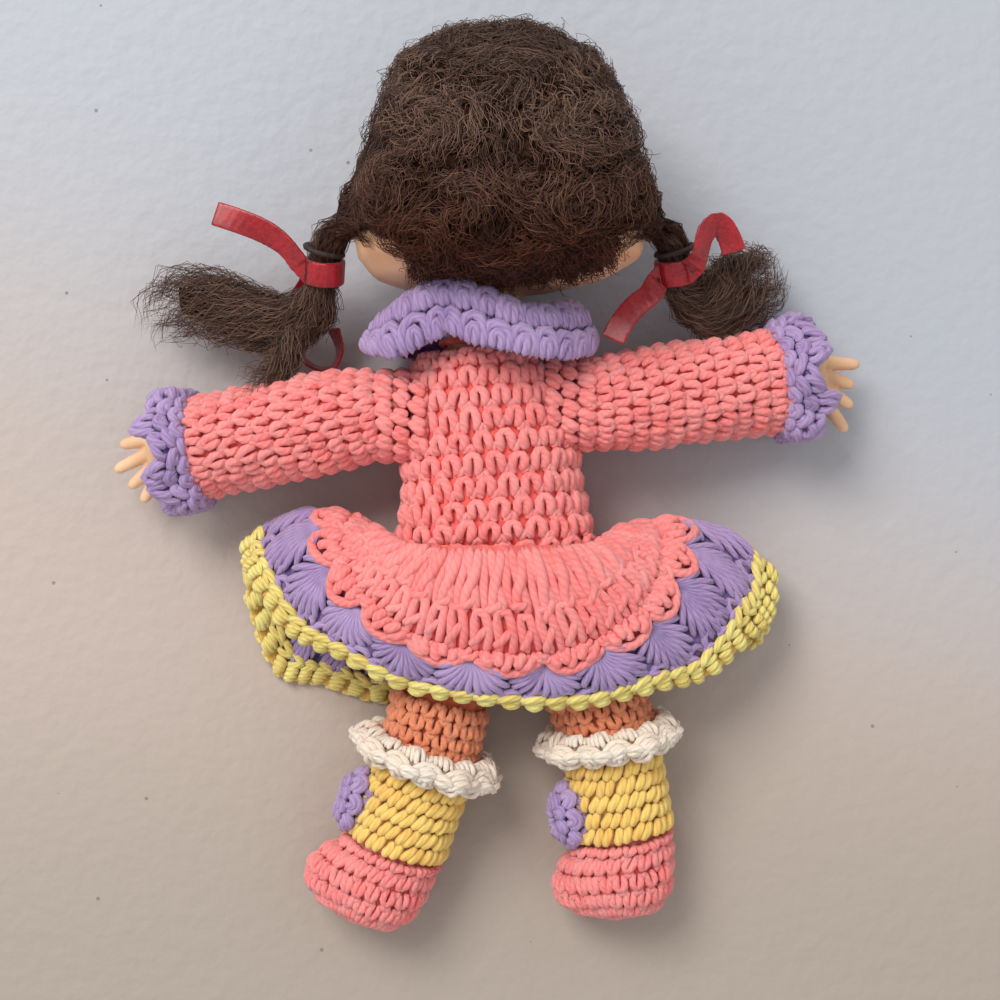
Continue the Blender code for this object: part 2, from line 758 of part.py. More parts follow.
def hair_elastic(word, side, rows, finish):
    """The band round a tail's first row, between its root and its ribbon."""
    root, points, _ = tail_rings(side, rows)
    forward = along_route([root, *points], 1)
    thick = TIE_THICKNESS / 2
    radius = rows[0][3] * TAIL_REACH + GAP + thick
    rings = torus_rings(points[0], forward, radius, thick, thick, KNOT_SIDES, ELASTIC_RING_SIDES)
    return add_object(word + "_hair_elastic", rings, finish, closed=True)


def ribbon_knot(word, side, rows, finish):
    """The wrap of ribbon round the tail: a flat band."""
    middle, forward, size = tie_frame(side, rows)
    across = forward.cross(Z).normalized()
    up = across.cross(forward)
    half = RIBBON_WIDTH / 2
    inside, outside = size + GAP, size + GAP + KNOT_THICKNESS
    corners = ((inside, -half), (outside, -half), (outside, half), (inside, half))
    rings = [ring(middle + forward * a, across, up, r, r, KNOT_SIDES) for r, a in corners]
    return add_object(word + "_ribbon_knot", rings, finish, closed=True)


def smooth_route(points, turns):
    """More points along a smooth curve through the route's own points, with the strip's turn at each."""
    rows = [(i, p.x, p.y, p.z, t) for i, (p, t) in enumerate(zip(points, turns))]
    found = []
    for i in range((len(rows) - 1) * RIBBON_STEPS + 1):
        x, y, z, turn = smooth_read(rows, i / RIBBON_STEPS)
        found.append((Vector((x, y, z)), turn))
    return found


def ribbon_strip(name, side, rows, route, finish):
    """A strip of satin that leaves the knot: a flat section swept along a smooth route, turning as it goes."""
    tie, along, size = tie_frame(side, rows)
    points = [side_point(tie, side, row, RIBBON_REACH) for row in route]
    leaving = points[0] - tie
    leaving = (leaving - along * leaving.dot(along)).normalized()
    points[0] = tie + leaving * (size + GAP + KNOT_THICKNESS + GAP)
    steps = smooth_route(points, [row[3] for row in route])
    line = [point for point, _ in steps]
    rings = []
    for i, (point, turn) in enumerate(steps):
        forward = along_route(line, i) if i else leaving
        flat = forward.cross(Z).normalized()
        turned = Matrix.Rotation(math.radians(side * turn), 3, forward) @ flat
        knot_way = along if along.dot(turned) > 0 else -along
        across = knot_way.lerp(turned, min(1.0, i / RIBBON_STEPS))
        across = (across - forward * across.dot(forward)).normalized()
        up = across.cross(forward)
        half, thick = RIBBON_WIDTH / 2, RIBBON_THICKNESS / 2
        corners = ((-half, -thick), (half, -thick), (half, thick), (-half, thick))
        rings.append([point + across * a + up * b for a, b in corners])
    return add_object(name, [[line[0]], *rings, [line[-1]]], finish)


def frill(name, surface, start, end, rows, sides, thickness, finish, seam=0.0):
    """A wavy sheet with a thickness, round a neck, a wrist or a waist. Surface gives the cloth's middle.

    The seam is the share that the last row stops short of the next piece of cloth.
    """
    outer, inner = [], []
    turn_step = math.pi / sides
    for r in range(rows + 1):
        share = start + (end - start) * r / rows
        place = share - seam if r == rows else share
        up_row, down_row = [], []
        for i in range(sides):
            angle = math.tau * i / sides
            slope = surface(angle, share + SURFACE_STEP) - surface(angle, share - SURFACE_STEP)
            turn = surface(angle + turn_step, share) - surface(angle - turn_step, share)
            normal = turn.cross(slope).normalized() * (thickness / 2)
            up_row.append(surface(angle, place) + normal)
            down_row.append(surface(angle, place) - normal)
        outer.append(up_row)
        inner.append(down_row)
    return add_object(name, [*outer, *reversed(inner)], finish, closed=True)


def collar(finish):
    """The frill round the neck. It stands on the top of the bodice and opens towards the head."""
    start_y = TORSO_TOP_Y + GAP + COLLAR_THICKNESS / 2
    start_radius = NECK_RADIUS + GAP + 2 * NECK_THREAD_RADIUS + GAP + COLLAR_THICKNESS / 2
    rim_radius = COLLAR_RIM_RADIUS - COLLAR_THICKNESS / 2
    peak = math.radians(COLLAR_WAVE_PEAK_DEG)

    def surface(angle, share):
        wave = COLLAR_WAVE * math.cos(COLLAR_WAVES * (angle - peak))
        radius = start_radius + (rim_radius - start_radius) * share
        y = start_y + (COLLAR_RISE + wave) * max(0.0, share) ** COLLAR_CURVE
        return Vector((NECK_X, y, NECK_Z)) + (X * math.cos(angle) + Z * math.sin(angle)) * radius

    return frill("collar", surface, 0.0, 1.0, COLLAR_ROWS, COLLAR_SIDES, COLLAR_THICKNESS, finish)


def neck_tie(finish):
    """The gathering thread round the neck, under the collar."""
    middle = Vector((NECK_X, TORSO_TOP_Y + GAP + NECK_THREAD_RADIUS, NECK_Z))
    radius = NECK_RADIUS + GAP + NECK_THREAD_RADIUS
    half = NECK_THREAD_RADIUS
    rings = torus_rings(middle, Y, radius, half, half, KNOT_SIDES, ELASTIC_RING_SIDES)
    return add_object("neck_thread", rings, finish, closed=True)


def arm_direction(side, drop):
    """From the shoulder to the hand: outwards, lower than the shoulder, and down to the table."""
    drop, slope = math.radians(drop), math.radians(ARM_SLOPE_DEG)
    return Vector((side * math.cos(drop) * math.cos(slope), -math.sin(drop) * math.cos(slope), -math.sin(slope)))


def arm_start(side, along_share):
    """The middle of the shoulder's ball, which is seated a little way into the bodice."""
    y = TORSO_BOTTOM_Y + along_share * TORSO_LENGTH
    middle, width, depth = torso_section(y)
    inside = Vector((middle.x, y, 2 * depth * ARM_HEIGHT_SHARE))
    return seated_ball(inside, X * side, ARM_BALL_RADIUS, ARM_SEAT)


def limb_frame(direction):
    across = direction.cross(Z).normalized()
    return across, across.cross(direction).normalized()


def round_rings(start, direction, stations, sides):
    across, up = limb_frame(direction)
    return [ring(start + direction * a, across, up, r, r, sides) for a, r in stations]


def dome_stations(radius, rows=5):
    """A half ball, from near its pole to its full width."""
    angles = [math.pi / 2 * i / rows for i in range(1, rows + 1)]
    return [(-radius * math.cos(a), radius * math.sin(a)) for a in angles]


def arm_radius(share):
    (swell,) = smooth_read(ARM_SWELL_SHARES, share)
    return (ARM_BALL_RADIUS + (ARM_CUFF_RADIUS - ARM_BALL_RADIUS) * share) * (1 + swell)


def arm_stations(shrink, end):
    rows = [row[0] for row in ARM_SWELL_SHARES[1:]]
    stations = dome_stations(ARM_BALL_RADIUS - shrink)
    stations += [(share * end, arm_radius(share * end / ARM_LENGTH) - shrink) for share in rows]
    return stations


def sleeve(word, start, direction, finish):
    outer = round_rings(start, direction, arm_stations(0.0, ARM_LENGTH), ARM_SIDES)
    inner = round_rings(start, direction, arm_stations(YARN_WALL, ARM_LENGTH - YARN_WALL), ARM_SIDES)
    hole = WRIST_RADIUS + GAP
    mouth = round_rings(start, direction, [(ARM_LENGTH, hole), (ARM_LENGTH - YARN_WALL, hole)], ARM_SIDES)
    pole = [start - direction * ARM_BALL_RADIUS]
    inner_pole = [start - direction * (ARM_BALL_RADIUS - YARN_WALL)]
    return add_object(word + "_sleeve", [pole, *outer, *mouth, *reversed(inner), inner_pole], finish)


def arm_stuffing(word, start, direction, finish):
    shrink = YARN_WALL + GAP
    end = ARM_LENGTH - YARN_WALL - GAP - WRIST_DEPTH - GAP
    rings = round_rings(start, direction, arm_stations(shrink, end), ARM_SIDES)
    poles = [start - direction * (ARM_BALL_RADIUS - shrink)], [start + direction * end]
    return add_object(word + "_arm_stuffing", [poles[0], *rings, poles[1]], finish)


def cuff(word, start, direction, finish):
    """The frill at the wrist. It stands out from the sleeve's end wall, round the hand."""
    across, up = limb_frame(direction)
    first = ARM_LENGTH + GAP + CUFF_THICKNESS / 2
    inner_radius = PALM_HALF_WIDTH + GAP + CUFF_THICKNESS / 2
    rim_radius = CUFF_RIM_RADIUS - CUFF_THICKNESS / 2

    def surface(angle, share):
        wave = CUFF_WAVE * math.cos(CUFF_WAVES * angle) * max(0.0, share)
        radius = inner_radius + (rim_radius - inner_radius) * share
        along = first + (CUFF_REACH - CUFF_THICKNESS / 2) * share + wave
        return start + direction * along + (across * math.cos(angle) + up * math.sin(angle)) * radius

    return frill(word + "_cuff", surface, 0.0, 1.0, CUFF_ROWS, CUFF_SIDES, CUFF_THICKNESS, finish)


def finger(name, base, direction, across, up, length, finish):
    radius, tip = FINGER_RADIUS, FINGER_TIP_RADIUS
    stations = [(-radius, radius * 0.6), (0.0, radius), (length * 0.6, (radius + tip) / 2), (length - tip, tip)]
    stations.append((length - tip * 0.3, tip * 0.7))
    rings = [ring(base + direction * a, across, up, r, r, FINGER_SIDES) for a, r in stations]
    ends = [base - direction * radius * 1.3], [base + direction * length]
    return add_object(name, [ends[0], *rings, ends[1]], finish)


def hand(word, start, direction, finger_rows, finish):
    """A hand on its wrist post. The flange on the post stays inside the sleeve's end wall."""
    across, up = limb_frame(direction)
    wall = ARM_LENGTH - YARN_WALL - GAP
    post = [
        (wall - WRIST_DEPTH, WRIST_RADIUS),
        (wall - WRIST_FLANGE_THICKNESS, WRIST_RADIUS),
        (wall - WRIST_FLANGE_THICKNESS, WRIST_FLANGE_RADIUS),
        (wall, WRIST_FLANGE_RADIUS),
        (wall, WRIST_RADIUS),
        (ARM_LENGTH + PALM_START, WRIST_RADIUS * WRIST_END_SHARE),
    ]
    rings = round_rings(start, direction, post, HAND_SIDES)
    palm = ARM_LENGTH + PALM_START
    for along, width, thick in PALM_SHARES:
        middle = start + direction * (palm + along * PALM_LENGTH)
        rings.append(ring(middle, across, up, width * PALM_HALF_WIDTH, thick * PALM_HALF_THICKNESS, HAND_SIDES))
    ends = [start + direction * (wall - WRIST_DEPTH)], [start + direction * (palm + PALM_LENGTH)]
    whole = add_object(word + "_hand", [ends[0], *rings, ends[1]], finish)
    knuckles = start + direction * (palm + PALM_LENGTH * FINGER_ROOT_SHARE)
    thumb_side = across if across.y > 0 else -across
    for i, (place, spread, length) in enumerate(finger_rows):
        turn = math.radians(spread)
        way = direction * math.cos(turn) + thumb_side * math.sin(turn)
        base = knuckles + thumb_side * (place * PALM_HALF_WIDTH) - up * (FINGER_SINK + i * FINGER_SINK_STEP)
        other = way.cross(up).normalized()
        part = finger(f"{word}_finger_{i}", base, way, other, up, FINGER_LENGTH * length, finish)
        boolean(whole, part, "UNION")
    turn = math.radians(THUMB_SPREAD_DEG)
    way = direction * math.cos(turn) + thumb_side * math.sin(turn)
    base = start + direction * (palm + PALM_LENGTH * THUMB_ALONG_SHARE) + thumb_side * (PALM_HALF_WIDTH / 2)
    base -= up * FINGER_SINK
    other = way.cross(up).normalized()
    part = finger(word + "_thumb", base, way, other, up, FINGER_LENGTH * THUMB_LENGTH_SHARE, finish)
    boolean(whole, part, "UNION")
    return whole


def leg_direction(side, splay, slope):
    """From the hip to the foot: towards -Y, splayed outwards and a little down."""
    splay, slope = math.radians(splay), math.radians(slope)
    return Vector((side * math.sin(splay) * math.cos(slope), -math.cos(splay) * math.cos(slope), -math.sin(slope)))


def hip_start(x):
    """The middle of the hip's ball, seated a little way into the bottom of the bodice."""
    return seated_ball(Vector((x, skirt_waist_y(), HIP_HEIGHT)), -Y, HIP_BALL_RADIUS, HIP_SEAT)


def thigh_radius(share):
    return HIP_BALL_RADIUS + (KNEE_RADIUS - HIP_BALL_RADIUS) * share


def thigh_rings(start, way, boot_way, shrink, end):
    """A ball end, the thigh, and a last ring square to the boot's axis."""
    stations = dome_stations(HIP_BALL_RADIUS - shrink)
    stations += [(share * end, thigh_radius(share) - shrink) for share in (0.33, 0.66)]
    rings = round_rings(start, way, stations, LEG_SIDES)
    across, up = limb_frame(boot_way)
    radius = KNEE_RADIUS - shrink
    rings.append(ring(start + way * end, across, up, radius, radius, LEG_SIDES))
    return rings


def thigh(word, start, way, boot_way, length, finish):
    outer = thigh_rings(start, way, boot_way, 0.0, length)
    inner = thigh_rings(start, way, boot_way, YARN_WALL, length)
    poles = [start - way * HIP_BALL_RADIUS], [start - way * (HIP_BALL_RADIUS - YARN_WALL)]
    return add_object(word + "_thigh", [poles[0], *outer, *reversed(inner), poles[1]], finish)


def thigh_stuffing(word, start, way, boot_way, length, finish):
    shrink = YARN_WALL + GAP
    rings = thigh_rings(start, way, boot_way, shrink, length)
    poles = [start - way * (HIP_BALL_RADIUS - shrink)], [start + way * length]
    return add_object(word + "_thigh_stuffing", [poles[0], *rings, poles[1]], finish)


def boot_start(start, way, boot_way, length):
    """The middle of the boot's top, just below the thigh's last round."""
    return start + way * length + boot_way * GAP


def boot_radius(share):
    return BOOT_TOP_RADIUS + (BOOT_ANKLE_RADIUS - BOOT_TOP_RADIUS) * share


def boot(word, top, boot_way, finish):
    shares = (0.0, 0.33, 0.66, 1.0)
    outer = round_rings(top, boot_way, [(s * BOOT_LENGTH, boot_radius(s)) for s in shares], LEG_SIDES)
    inner = round_rings(top, boot_way, [(s * BOOT_LENGTH, boot_radius(s) - YARN_WALL) for s in shares], LEG_SIDES)
    return add_object(word + "_boot", [*outer, *reversed(inner)], finish, closed=True)


def toe_way(boot_way, toe_turn):
    """The way the toes point: towards -X, as the feet lie on their sides."""
    flat = boot_way.cross(Z).normalized()
    toe = flat if flat.x < 0 else -flat
    return Matrix.Rotation(math.radians(toe_turn), 3, boot_way) @ toe


def shoe_ring(middle, toe, side_way, toe_reach, heel_reach, half_width):
    """An egg: long towards the toe and short towards the heel."""
    points = []
    for i in range(LEG_SIDES):
        angle = math.tau * i / LEG_SIDES
        c, s = math.cos(angle), math.sin(angle)
        reach = toe_reach if c > 0 else heel_reach
        points.append(middle + toe * (c * reach) + side_way * (s * half_width))
    return points


def shoe_rings(ankle, boot_way, toe, shrink, floor):
    side_way = boot_way.cross(toe).normalized()
    radius = BOOT_ANKLE_RADIUS - shrink
    rings = [shoe_ring(ankle, toe, side_way, radius, radius, radius)]
    for along, toe_share, heel_share, width_share in SHOE_SHARES:
        sizes = (
            toe_share * SHOE_TOE_REACH - shrink,
            heel_share * SHOE_HEEL_REACH - shrink,
            width_share * SHOE_HALF_WIDTH - shrink,
        )
        if min(sizes) > GAP:
            middle = ankle + boot_way * (along * (SHOE_HEIGHT - floor))
            rings.append(shoe_ring(middle, toe, side_way, *sizes))
    return rings


def shoe(word, ankle, boot_way, toe, finish):
    outer = shoe_rings(ankle, boot_way, toe, 0.0, 0.0)
    inner = shoe_rings(ankle, boot_way, toe, YARN_WALL, YARN_WALL)
    poles = [ankle + boot_way * SHOE_HEIGHT], [ankle + boot_way * (SHOE_HEIGHT - YARN_WALL)]
    rings = [poles[0], *reversed(outer), *inner, poles[1]]
    return add_object(word + "_shoe", rings, finish)


def foot_stuffing(word, top, ankle, boot_way, toe, finish):
    """One plug of stuffing that fills the boot and the shoe."""
    shrink = YARN_WALL + GAP
    side_way = boot_way.cross(toe).normalized()
    rings = []
    for share in (0.0, 0.5):
        radius = boot_radius(share) - shrink
        middle = top + boot_way * (share * BOOT_LENGTH)
        rings.append(shoe_ring(middle, toe, side_way, radius, radius, radius))
    rings += shoe_rings(ankle, boot_way, toe, shrink, shrink)
    poles = [top], [ankle + boot_way * (SHOE_HEIGHT - shrink)]
    return add_object(word + "_foot_stuffing", [poles[0], *rings, poles[1]], finish)


def sock_ruffle(word, top, boot_way, finish):
    """A frill round the boot's top, with waves on its outer side only."""
    across, up = limb_frame(boot_way)
    inside = BOOT_TOP_RADIUS + 2 * GAP
    rings = []
    for i in range(RUFFLE_SIDES):
        angle = math.tau * i / RUFFLE_SIDES
        out = across * math.cos(angle) + up * math.sin(angle)
        reach = (RUFFLE_REACH + math.cos(RUFFLE_WAVES * angle) * RUFFLE_WAVE) / 2
        middle = top + boot_way * RUFFLE_ALONG + out * (inside + reach)
        rings.append(ring(middle, out, boot_way, reach, RUFFLE_HEIGHT / 2, RUFFLE_RING_SIDES))
    return add_object(word + "_sock_ruffle", rings, finish, closed=True)


def boot_bow(word, top, boot_way, toe, finish, cutter_finish):
    """A crocheted oval that is sewn to the boot's front: round outside, hollowed to the boot behind."""
    side_way = boot_way.cross(toe).normalized()
    along = BOW_ALONG_SHARE * BOOT_LENGTH
    surface = top + boot_way * along + toe * boot_radius(BOW_ALONG_SHARE)
    rings = []
    for share, size in ((-0.30, 0.55), (0.0, 0.86), (0.35, 1.0), (0.7, 0.86), (0.94, 0.5)):
        middle = surface + toe * (share * BOW_THICKNESS)
        rings.append(ring(middle, side_way, boot_way, size * BOW_HALF_WIDTH, size * BOW_HALF_LENGTH, BOW_SIDES))
    poles = [surface - toe * (BOW_SEAT + GAP + 0.35 * BOW_THICKNESS)], [surface + toe * BOW_THICKNESS]
    bow = add_object(word + "_boot_bow", [poles[0], *rings, poles[1]], finish)
    reach = BOOT_LENGTH * 1.5
    radius = BOOT_ANKLE_RADIUS + GAP
    core = round_rings(top - boot_way * BOOT_LENGTH / 4, boot_way, [(0.0, radius), (reach, radius)], LEG_SIDES * 2)
    ends = [top - boot_way * BOOT_LENGTH / 4], [top + boot_way * (reach - BOOT_LENGTH / 4)]
    cutter = add_object(word + "_bow_cutter", [ends[0], *core, ends[1]], cutter_finish)
    return boolean(bow, cutter, "DIFFERENCE")


def skirt_waist_y():
    return TORSO_BOTTOM_Y + SKIRT_ALONG_SHARE * TORSO_LENGTH


def skirt_point(angle, share):
    """The middle of the skirt's cloth. Angle 90 degrees is the doll's back, and share 1 is the hem."""
    c, s = math.cos(angle), math.sin(angle)
    middle, width, depth = torso_section(skirt_waist_y())
    clear = GAP * 2 + SKIRT_THICKNESS / 2
    round_c = math.copysign(abs(c) ** (2 / TORSO_POWER), c)
    round_s = math.copysign(abs(s) ** (2 / TORSO_POWER), s)
    waist = middle + X * (round_c * (width + clear)) + Z * (round_s * (depth + clear))
    floor = SKIRT_THICKNESS / 2
    back, front = max(0.0, s), max(0.0, -s)
    fall = min(1.0, front * SKIRT_FRONT_FALL)
    hem_y = skirt_waist_y() - SKIRT_HEM_BACK * back - SKIRT_HEM_FRONT * front**SKIRT_FRONT_POWER
    hem_z = SKIRT_SIDE_HEIGHT + (SKIRT_BACK_HEIGHT - SKIRT_SIDE_HEIGHT) * back
    hem_z -= (SKIRT_SIDE_HEIGHT - floor) * fall
    point = waist.lerp(Vector((SKIRT_HEM_X + SKIRT_HEM_HALF_WIDTH * c, hem_y, hem_z)), share)
    arch = 4 * share * (1 - share)
    wave = SKIRT_WAVE * max(0.0, share) ** 2 * math.cos(SKIRT_WAVES * angle + SKIRT_WAVE_PHASE)
    side = abs(c) ** 3
    point.z += arch * SKIRT_BACK_BULGE * back + wave * back
    point.y += side * (arch * SKIRT_SIDE_ARCH - share * SKIRT_SIDE_DROP) + wave * abs(c)
    lean = SKIRT_LEAN_DEG + (SKIRT_FRONT_LEAN_DEG - SKIRT_LEAN_DEG) * fall
    point.y -= share * (point.x - middle.x) * math.tan(math.radians(lean))
    point.z = max(point.z, floor)
    return point


def skirt_part(name, start, end, rows, finish):
    seam = SKIRT_SEAM / SKIRT_HEM_BACK if end < 1.0 else 0.0
    return frill(name, skirt_point, start, end, rows, SKIRT_SIDES, SKIRT_THICKNESS, finish, seam)


def build():
    clear_scene()
    coral, lilac, yellow = yarn("coral_yarn", CORAL), yarn("lilac_yarn", LILAC), yarn("yellow_yarn", YELLOW)
    orange, white = yarn("orange_yarn", ORANGE), yarn("white_yarn", WHITE)
    satin, vinyl = material("red_satin", RED, 0.4), material("skin_vinyl", SKIN, 0.45)
    hair, fill = material("brown_hair", BROWN, 0.6), material("polyester_fill", FILL, 1.0)
    rubber = material("hair_elastic", BROWN, 0.6)
    under_table = table_box(fill)

    bodice = torso_cover(coral)
    stuffing = torso_stuffing(fill)
    boolean(bodice, under_table, "DIFFERENCE")
    head_shell(vinyl)
    hair_cap(hair)
    boolean(collar(lilac), under_table, "DIFFERENCE")
    neck_tie(coral)

    tails = {
        "left": (-1, LEFT_TAIL_SHARES, LEFT_STREAMER_SHARES, LEFT_LOOP_SHARES),
        "right": (1, RIGHT_TAIL_SHARES, RIGHT_STREAMER_SHARES, RIGHT_LOOP_SHARES),
    }
    for word, (side, rows, streamer, loop) in tails.items():
        tail = hair_tail(word, side, rows, hair)
        boolean(tail, under_table, "DIFFERENCE")
        hair_elastic(word, side, rows, rubber)
        ribbon_knot(word, side, rows, satin)
        ribbon_strip(word + "_ribbon_streamer", side, rows, streamer, satin)
        ribbon_strip(word + "_ribbon_loop", side, rows, loop, satin)

    arms = (
        ("left", -1, LEFT_ARM_ALONG_SHARE, LEFT_ARM_DROP_DEG, LEFT_FINGER_ROWS),
        ("right", 1, RIGHT_ARM_ALONG_SHARE, RIGHT_ARM_DROP_DEG, RIGHT_FINGER_ROWS),
    )
    for word, side, along_share, drop, finger_rows in arms:
        start, direction = arm_start(side, along_share), arm_direction(side, drop)
        seat = ball(word + "_shoulder_seat", start, ARM_BALL_RADIUS + GAP, fill)
        boolean(bodice, seat, "DIFFERENCE")
        sleeve(word, start, direction, coral)
        arm_stuffing(word, start, direction, fill)
        boolean(cuff(word, start, direction, lilac), under_table, "DIFFERENCE")
        hand(word, start, direction, finger_rows, vinyl)

    legs = (
        ("left", -1, LEFT_HIP_X, LEFT_THIGH_LENGTH, LEFT_THIGH_SPLAY_DEG, LEFT_BOOT_SPLAY_DEG, LEFT_TOE_TURN_DEG),
        ("right", 1, RIGHT_HIP_X, RIGHT_THIGH_LENGTH, RIGHT_THIGH_SPLAY_DEG, RIGHT_BOOT_SPLAY_DEG, RIGHT_TOE_TURN_DEG),
    )
    for word, side, hip_x, length, splay, boot_splay, toe_turn in legs:
        start = hip_start(hip_x)
        way = leg_direction(side, splay, LEG_SLOPE_DEG)
        boot_way = leg_direction(side, boot_splay, BOOT_SLOPE_DEG)
        seat = ball(word + "_hip_seat", start, HIP_BALL_RADIUS + GAP, fill)
        boolean(bodice, seat, "DIFFERENCE")
        thigh(word, start, way, boot_way, length, orange)
        thigh_stuffing(word, start, way, boot_way, length, fill)
        top = boot_start(start, way, boot_way, length)
        ankle = top + boot_way * (BOOT_LENGTH + GAP)
        toe = toe_way(boot_way, toe_turn)
        boot(word, top, boot_way, yellow)
        boolean(shoe(word, ankle, boot_way, toe, coral), under_table, "DIFFERENCE")
        foot_stuffing(word, top, ankle, boot_way, toe, fill)
        boolean(sock_ruffle(word, top, boot_way, white), under_table, "DIFFERENCE")
        boot_bow(word, top, boot_way, toe, lilac, fill)

    skirt_part("skirt_flounce", 0.0, FLOUNCE_END_SHARE, FLOUNCE_ROWS, coral)
    skirt_part("skirt_band", FLOUNCE_END_SHARE, BAND_END_SHARE, BAND_ROWS, lilac)
    skirt_part("skirt_edging", BAND_END_SHARE, 1.0, EDGING_ROWS, yellow)


build()
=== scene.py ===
# %% [markdown]
# # A crocheted doll, lying on its front
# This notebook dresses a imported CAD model. The doll has a body of thick acrylic yarn, a vinyl head with
# rooted curly hair, vinyl hands and satin ribbons. The CAD solids say where each piece is and how big it is;
# here each soft solid gets its real surface: stitches, frills, hair and cloth. Nearly everything is yarn, so
# the main lesson is one Geometry Nodes tree that can crochet on any surface.

# %% Load the frame
import json
import math
import random

import bmesh
import bpy
import numpy as np
from mathutils import Matrix, Vector, noise
from mathutils.bvhtree import BVHTree

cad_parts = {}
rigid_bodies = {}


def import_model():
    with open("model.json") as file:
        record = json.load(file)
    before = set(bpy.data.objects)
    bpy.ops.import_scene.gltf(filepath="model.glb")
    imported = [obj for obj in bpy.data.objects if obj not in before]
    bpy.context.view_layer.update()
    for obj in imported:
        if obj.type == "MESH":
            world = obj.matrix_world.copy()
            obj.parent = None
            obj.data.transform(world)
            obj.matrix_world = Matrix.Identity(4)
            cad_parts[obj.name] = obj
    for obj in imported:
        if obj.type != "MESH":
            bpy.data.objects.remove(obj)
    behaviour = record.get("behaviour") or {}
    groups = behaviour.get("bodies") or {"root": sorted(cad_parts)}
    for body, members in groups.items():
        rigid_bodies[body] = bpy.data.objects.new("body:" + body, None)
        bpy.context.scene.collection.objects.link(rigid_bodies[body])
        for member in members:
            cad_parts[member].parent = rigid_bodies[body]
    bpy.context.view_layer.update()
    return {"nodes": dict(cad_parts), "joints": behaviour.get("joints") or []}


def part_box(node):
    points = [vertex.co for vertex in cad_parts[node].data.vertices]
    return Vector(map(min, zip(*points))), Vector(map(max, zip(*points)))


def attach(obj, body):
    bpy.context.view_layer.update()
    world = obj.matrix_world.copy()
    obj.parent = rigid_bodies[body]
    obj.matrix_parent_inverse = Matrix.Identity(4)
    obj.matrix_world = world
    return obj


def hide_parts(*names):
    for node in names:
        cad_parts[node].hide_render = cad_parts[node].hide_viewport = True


for found in list(bpy.data.objects):
    bpy.data.objects.remove(found)
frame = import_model()
MM = 0.001
TAU = math.tau
X, Y, Z = Vector((1, 0, 0)), Vector((0, 1, 0)), Vector((0, 0, 1))


def new_object(name, data):
    """Puts a mesh, a camera or a lamp in the scene."""
    done = bpy.data.objects.new(name, data)
    bpy.context.scene.collection.objects.link(done)
    return done


# %% [markdown]
# ## The camera and the table
# The picture was taken from straight above, so the camera looks down. Its lens and height are chosen
# together: the high head and the low hands only line up if the camera is about half a metre away.

# %% Camera
CAMERA_MIDDLE = Vector((1.9 * MM, -4.7 * MM, 480.0 * MM))
CAMERA_LENS = 69.7
SENSOR_WIDTH = 36.0
camera_data = bpy.data.cameras.new("camera")
camera_data.lens = CAMERA_LENS
camera_data.sensor_width = SENSOR_WIDTH
camera_data.clip_start, camera_data.clip_end = 0.01, 10.0
camera = new_object("camera", camera_data)
camera.location = CAMERA_MIDDLE
bpy.context.scene.camera = camera
bpy.context.scene.view_settings.view_transform = "Standard"
print("camera height", round(CAMERA_MIDDLE.z, 3))


# %% Helpers for node trees
def srgb(red, green, blue):
    """A colour as it reads in a picture, from 0 to 255, turned into the linear values that shaders use."""
    done = []
    for value in (red, green, blue):
        value /= 255
        done.append(value / 12.92 if value <= 0.04045 else ((value + 0.055) / 1.055) ** 2.4)
    return (*done, 1.0)


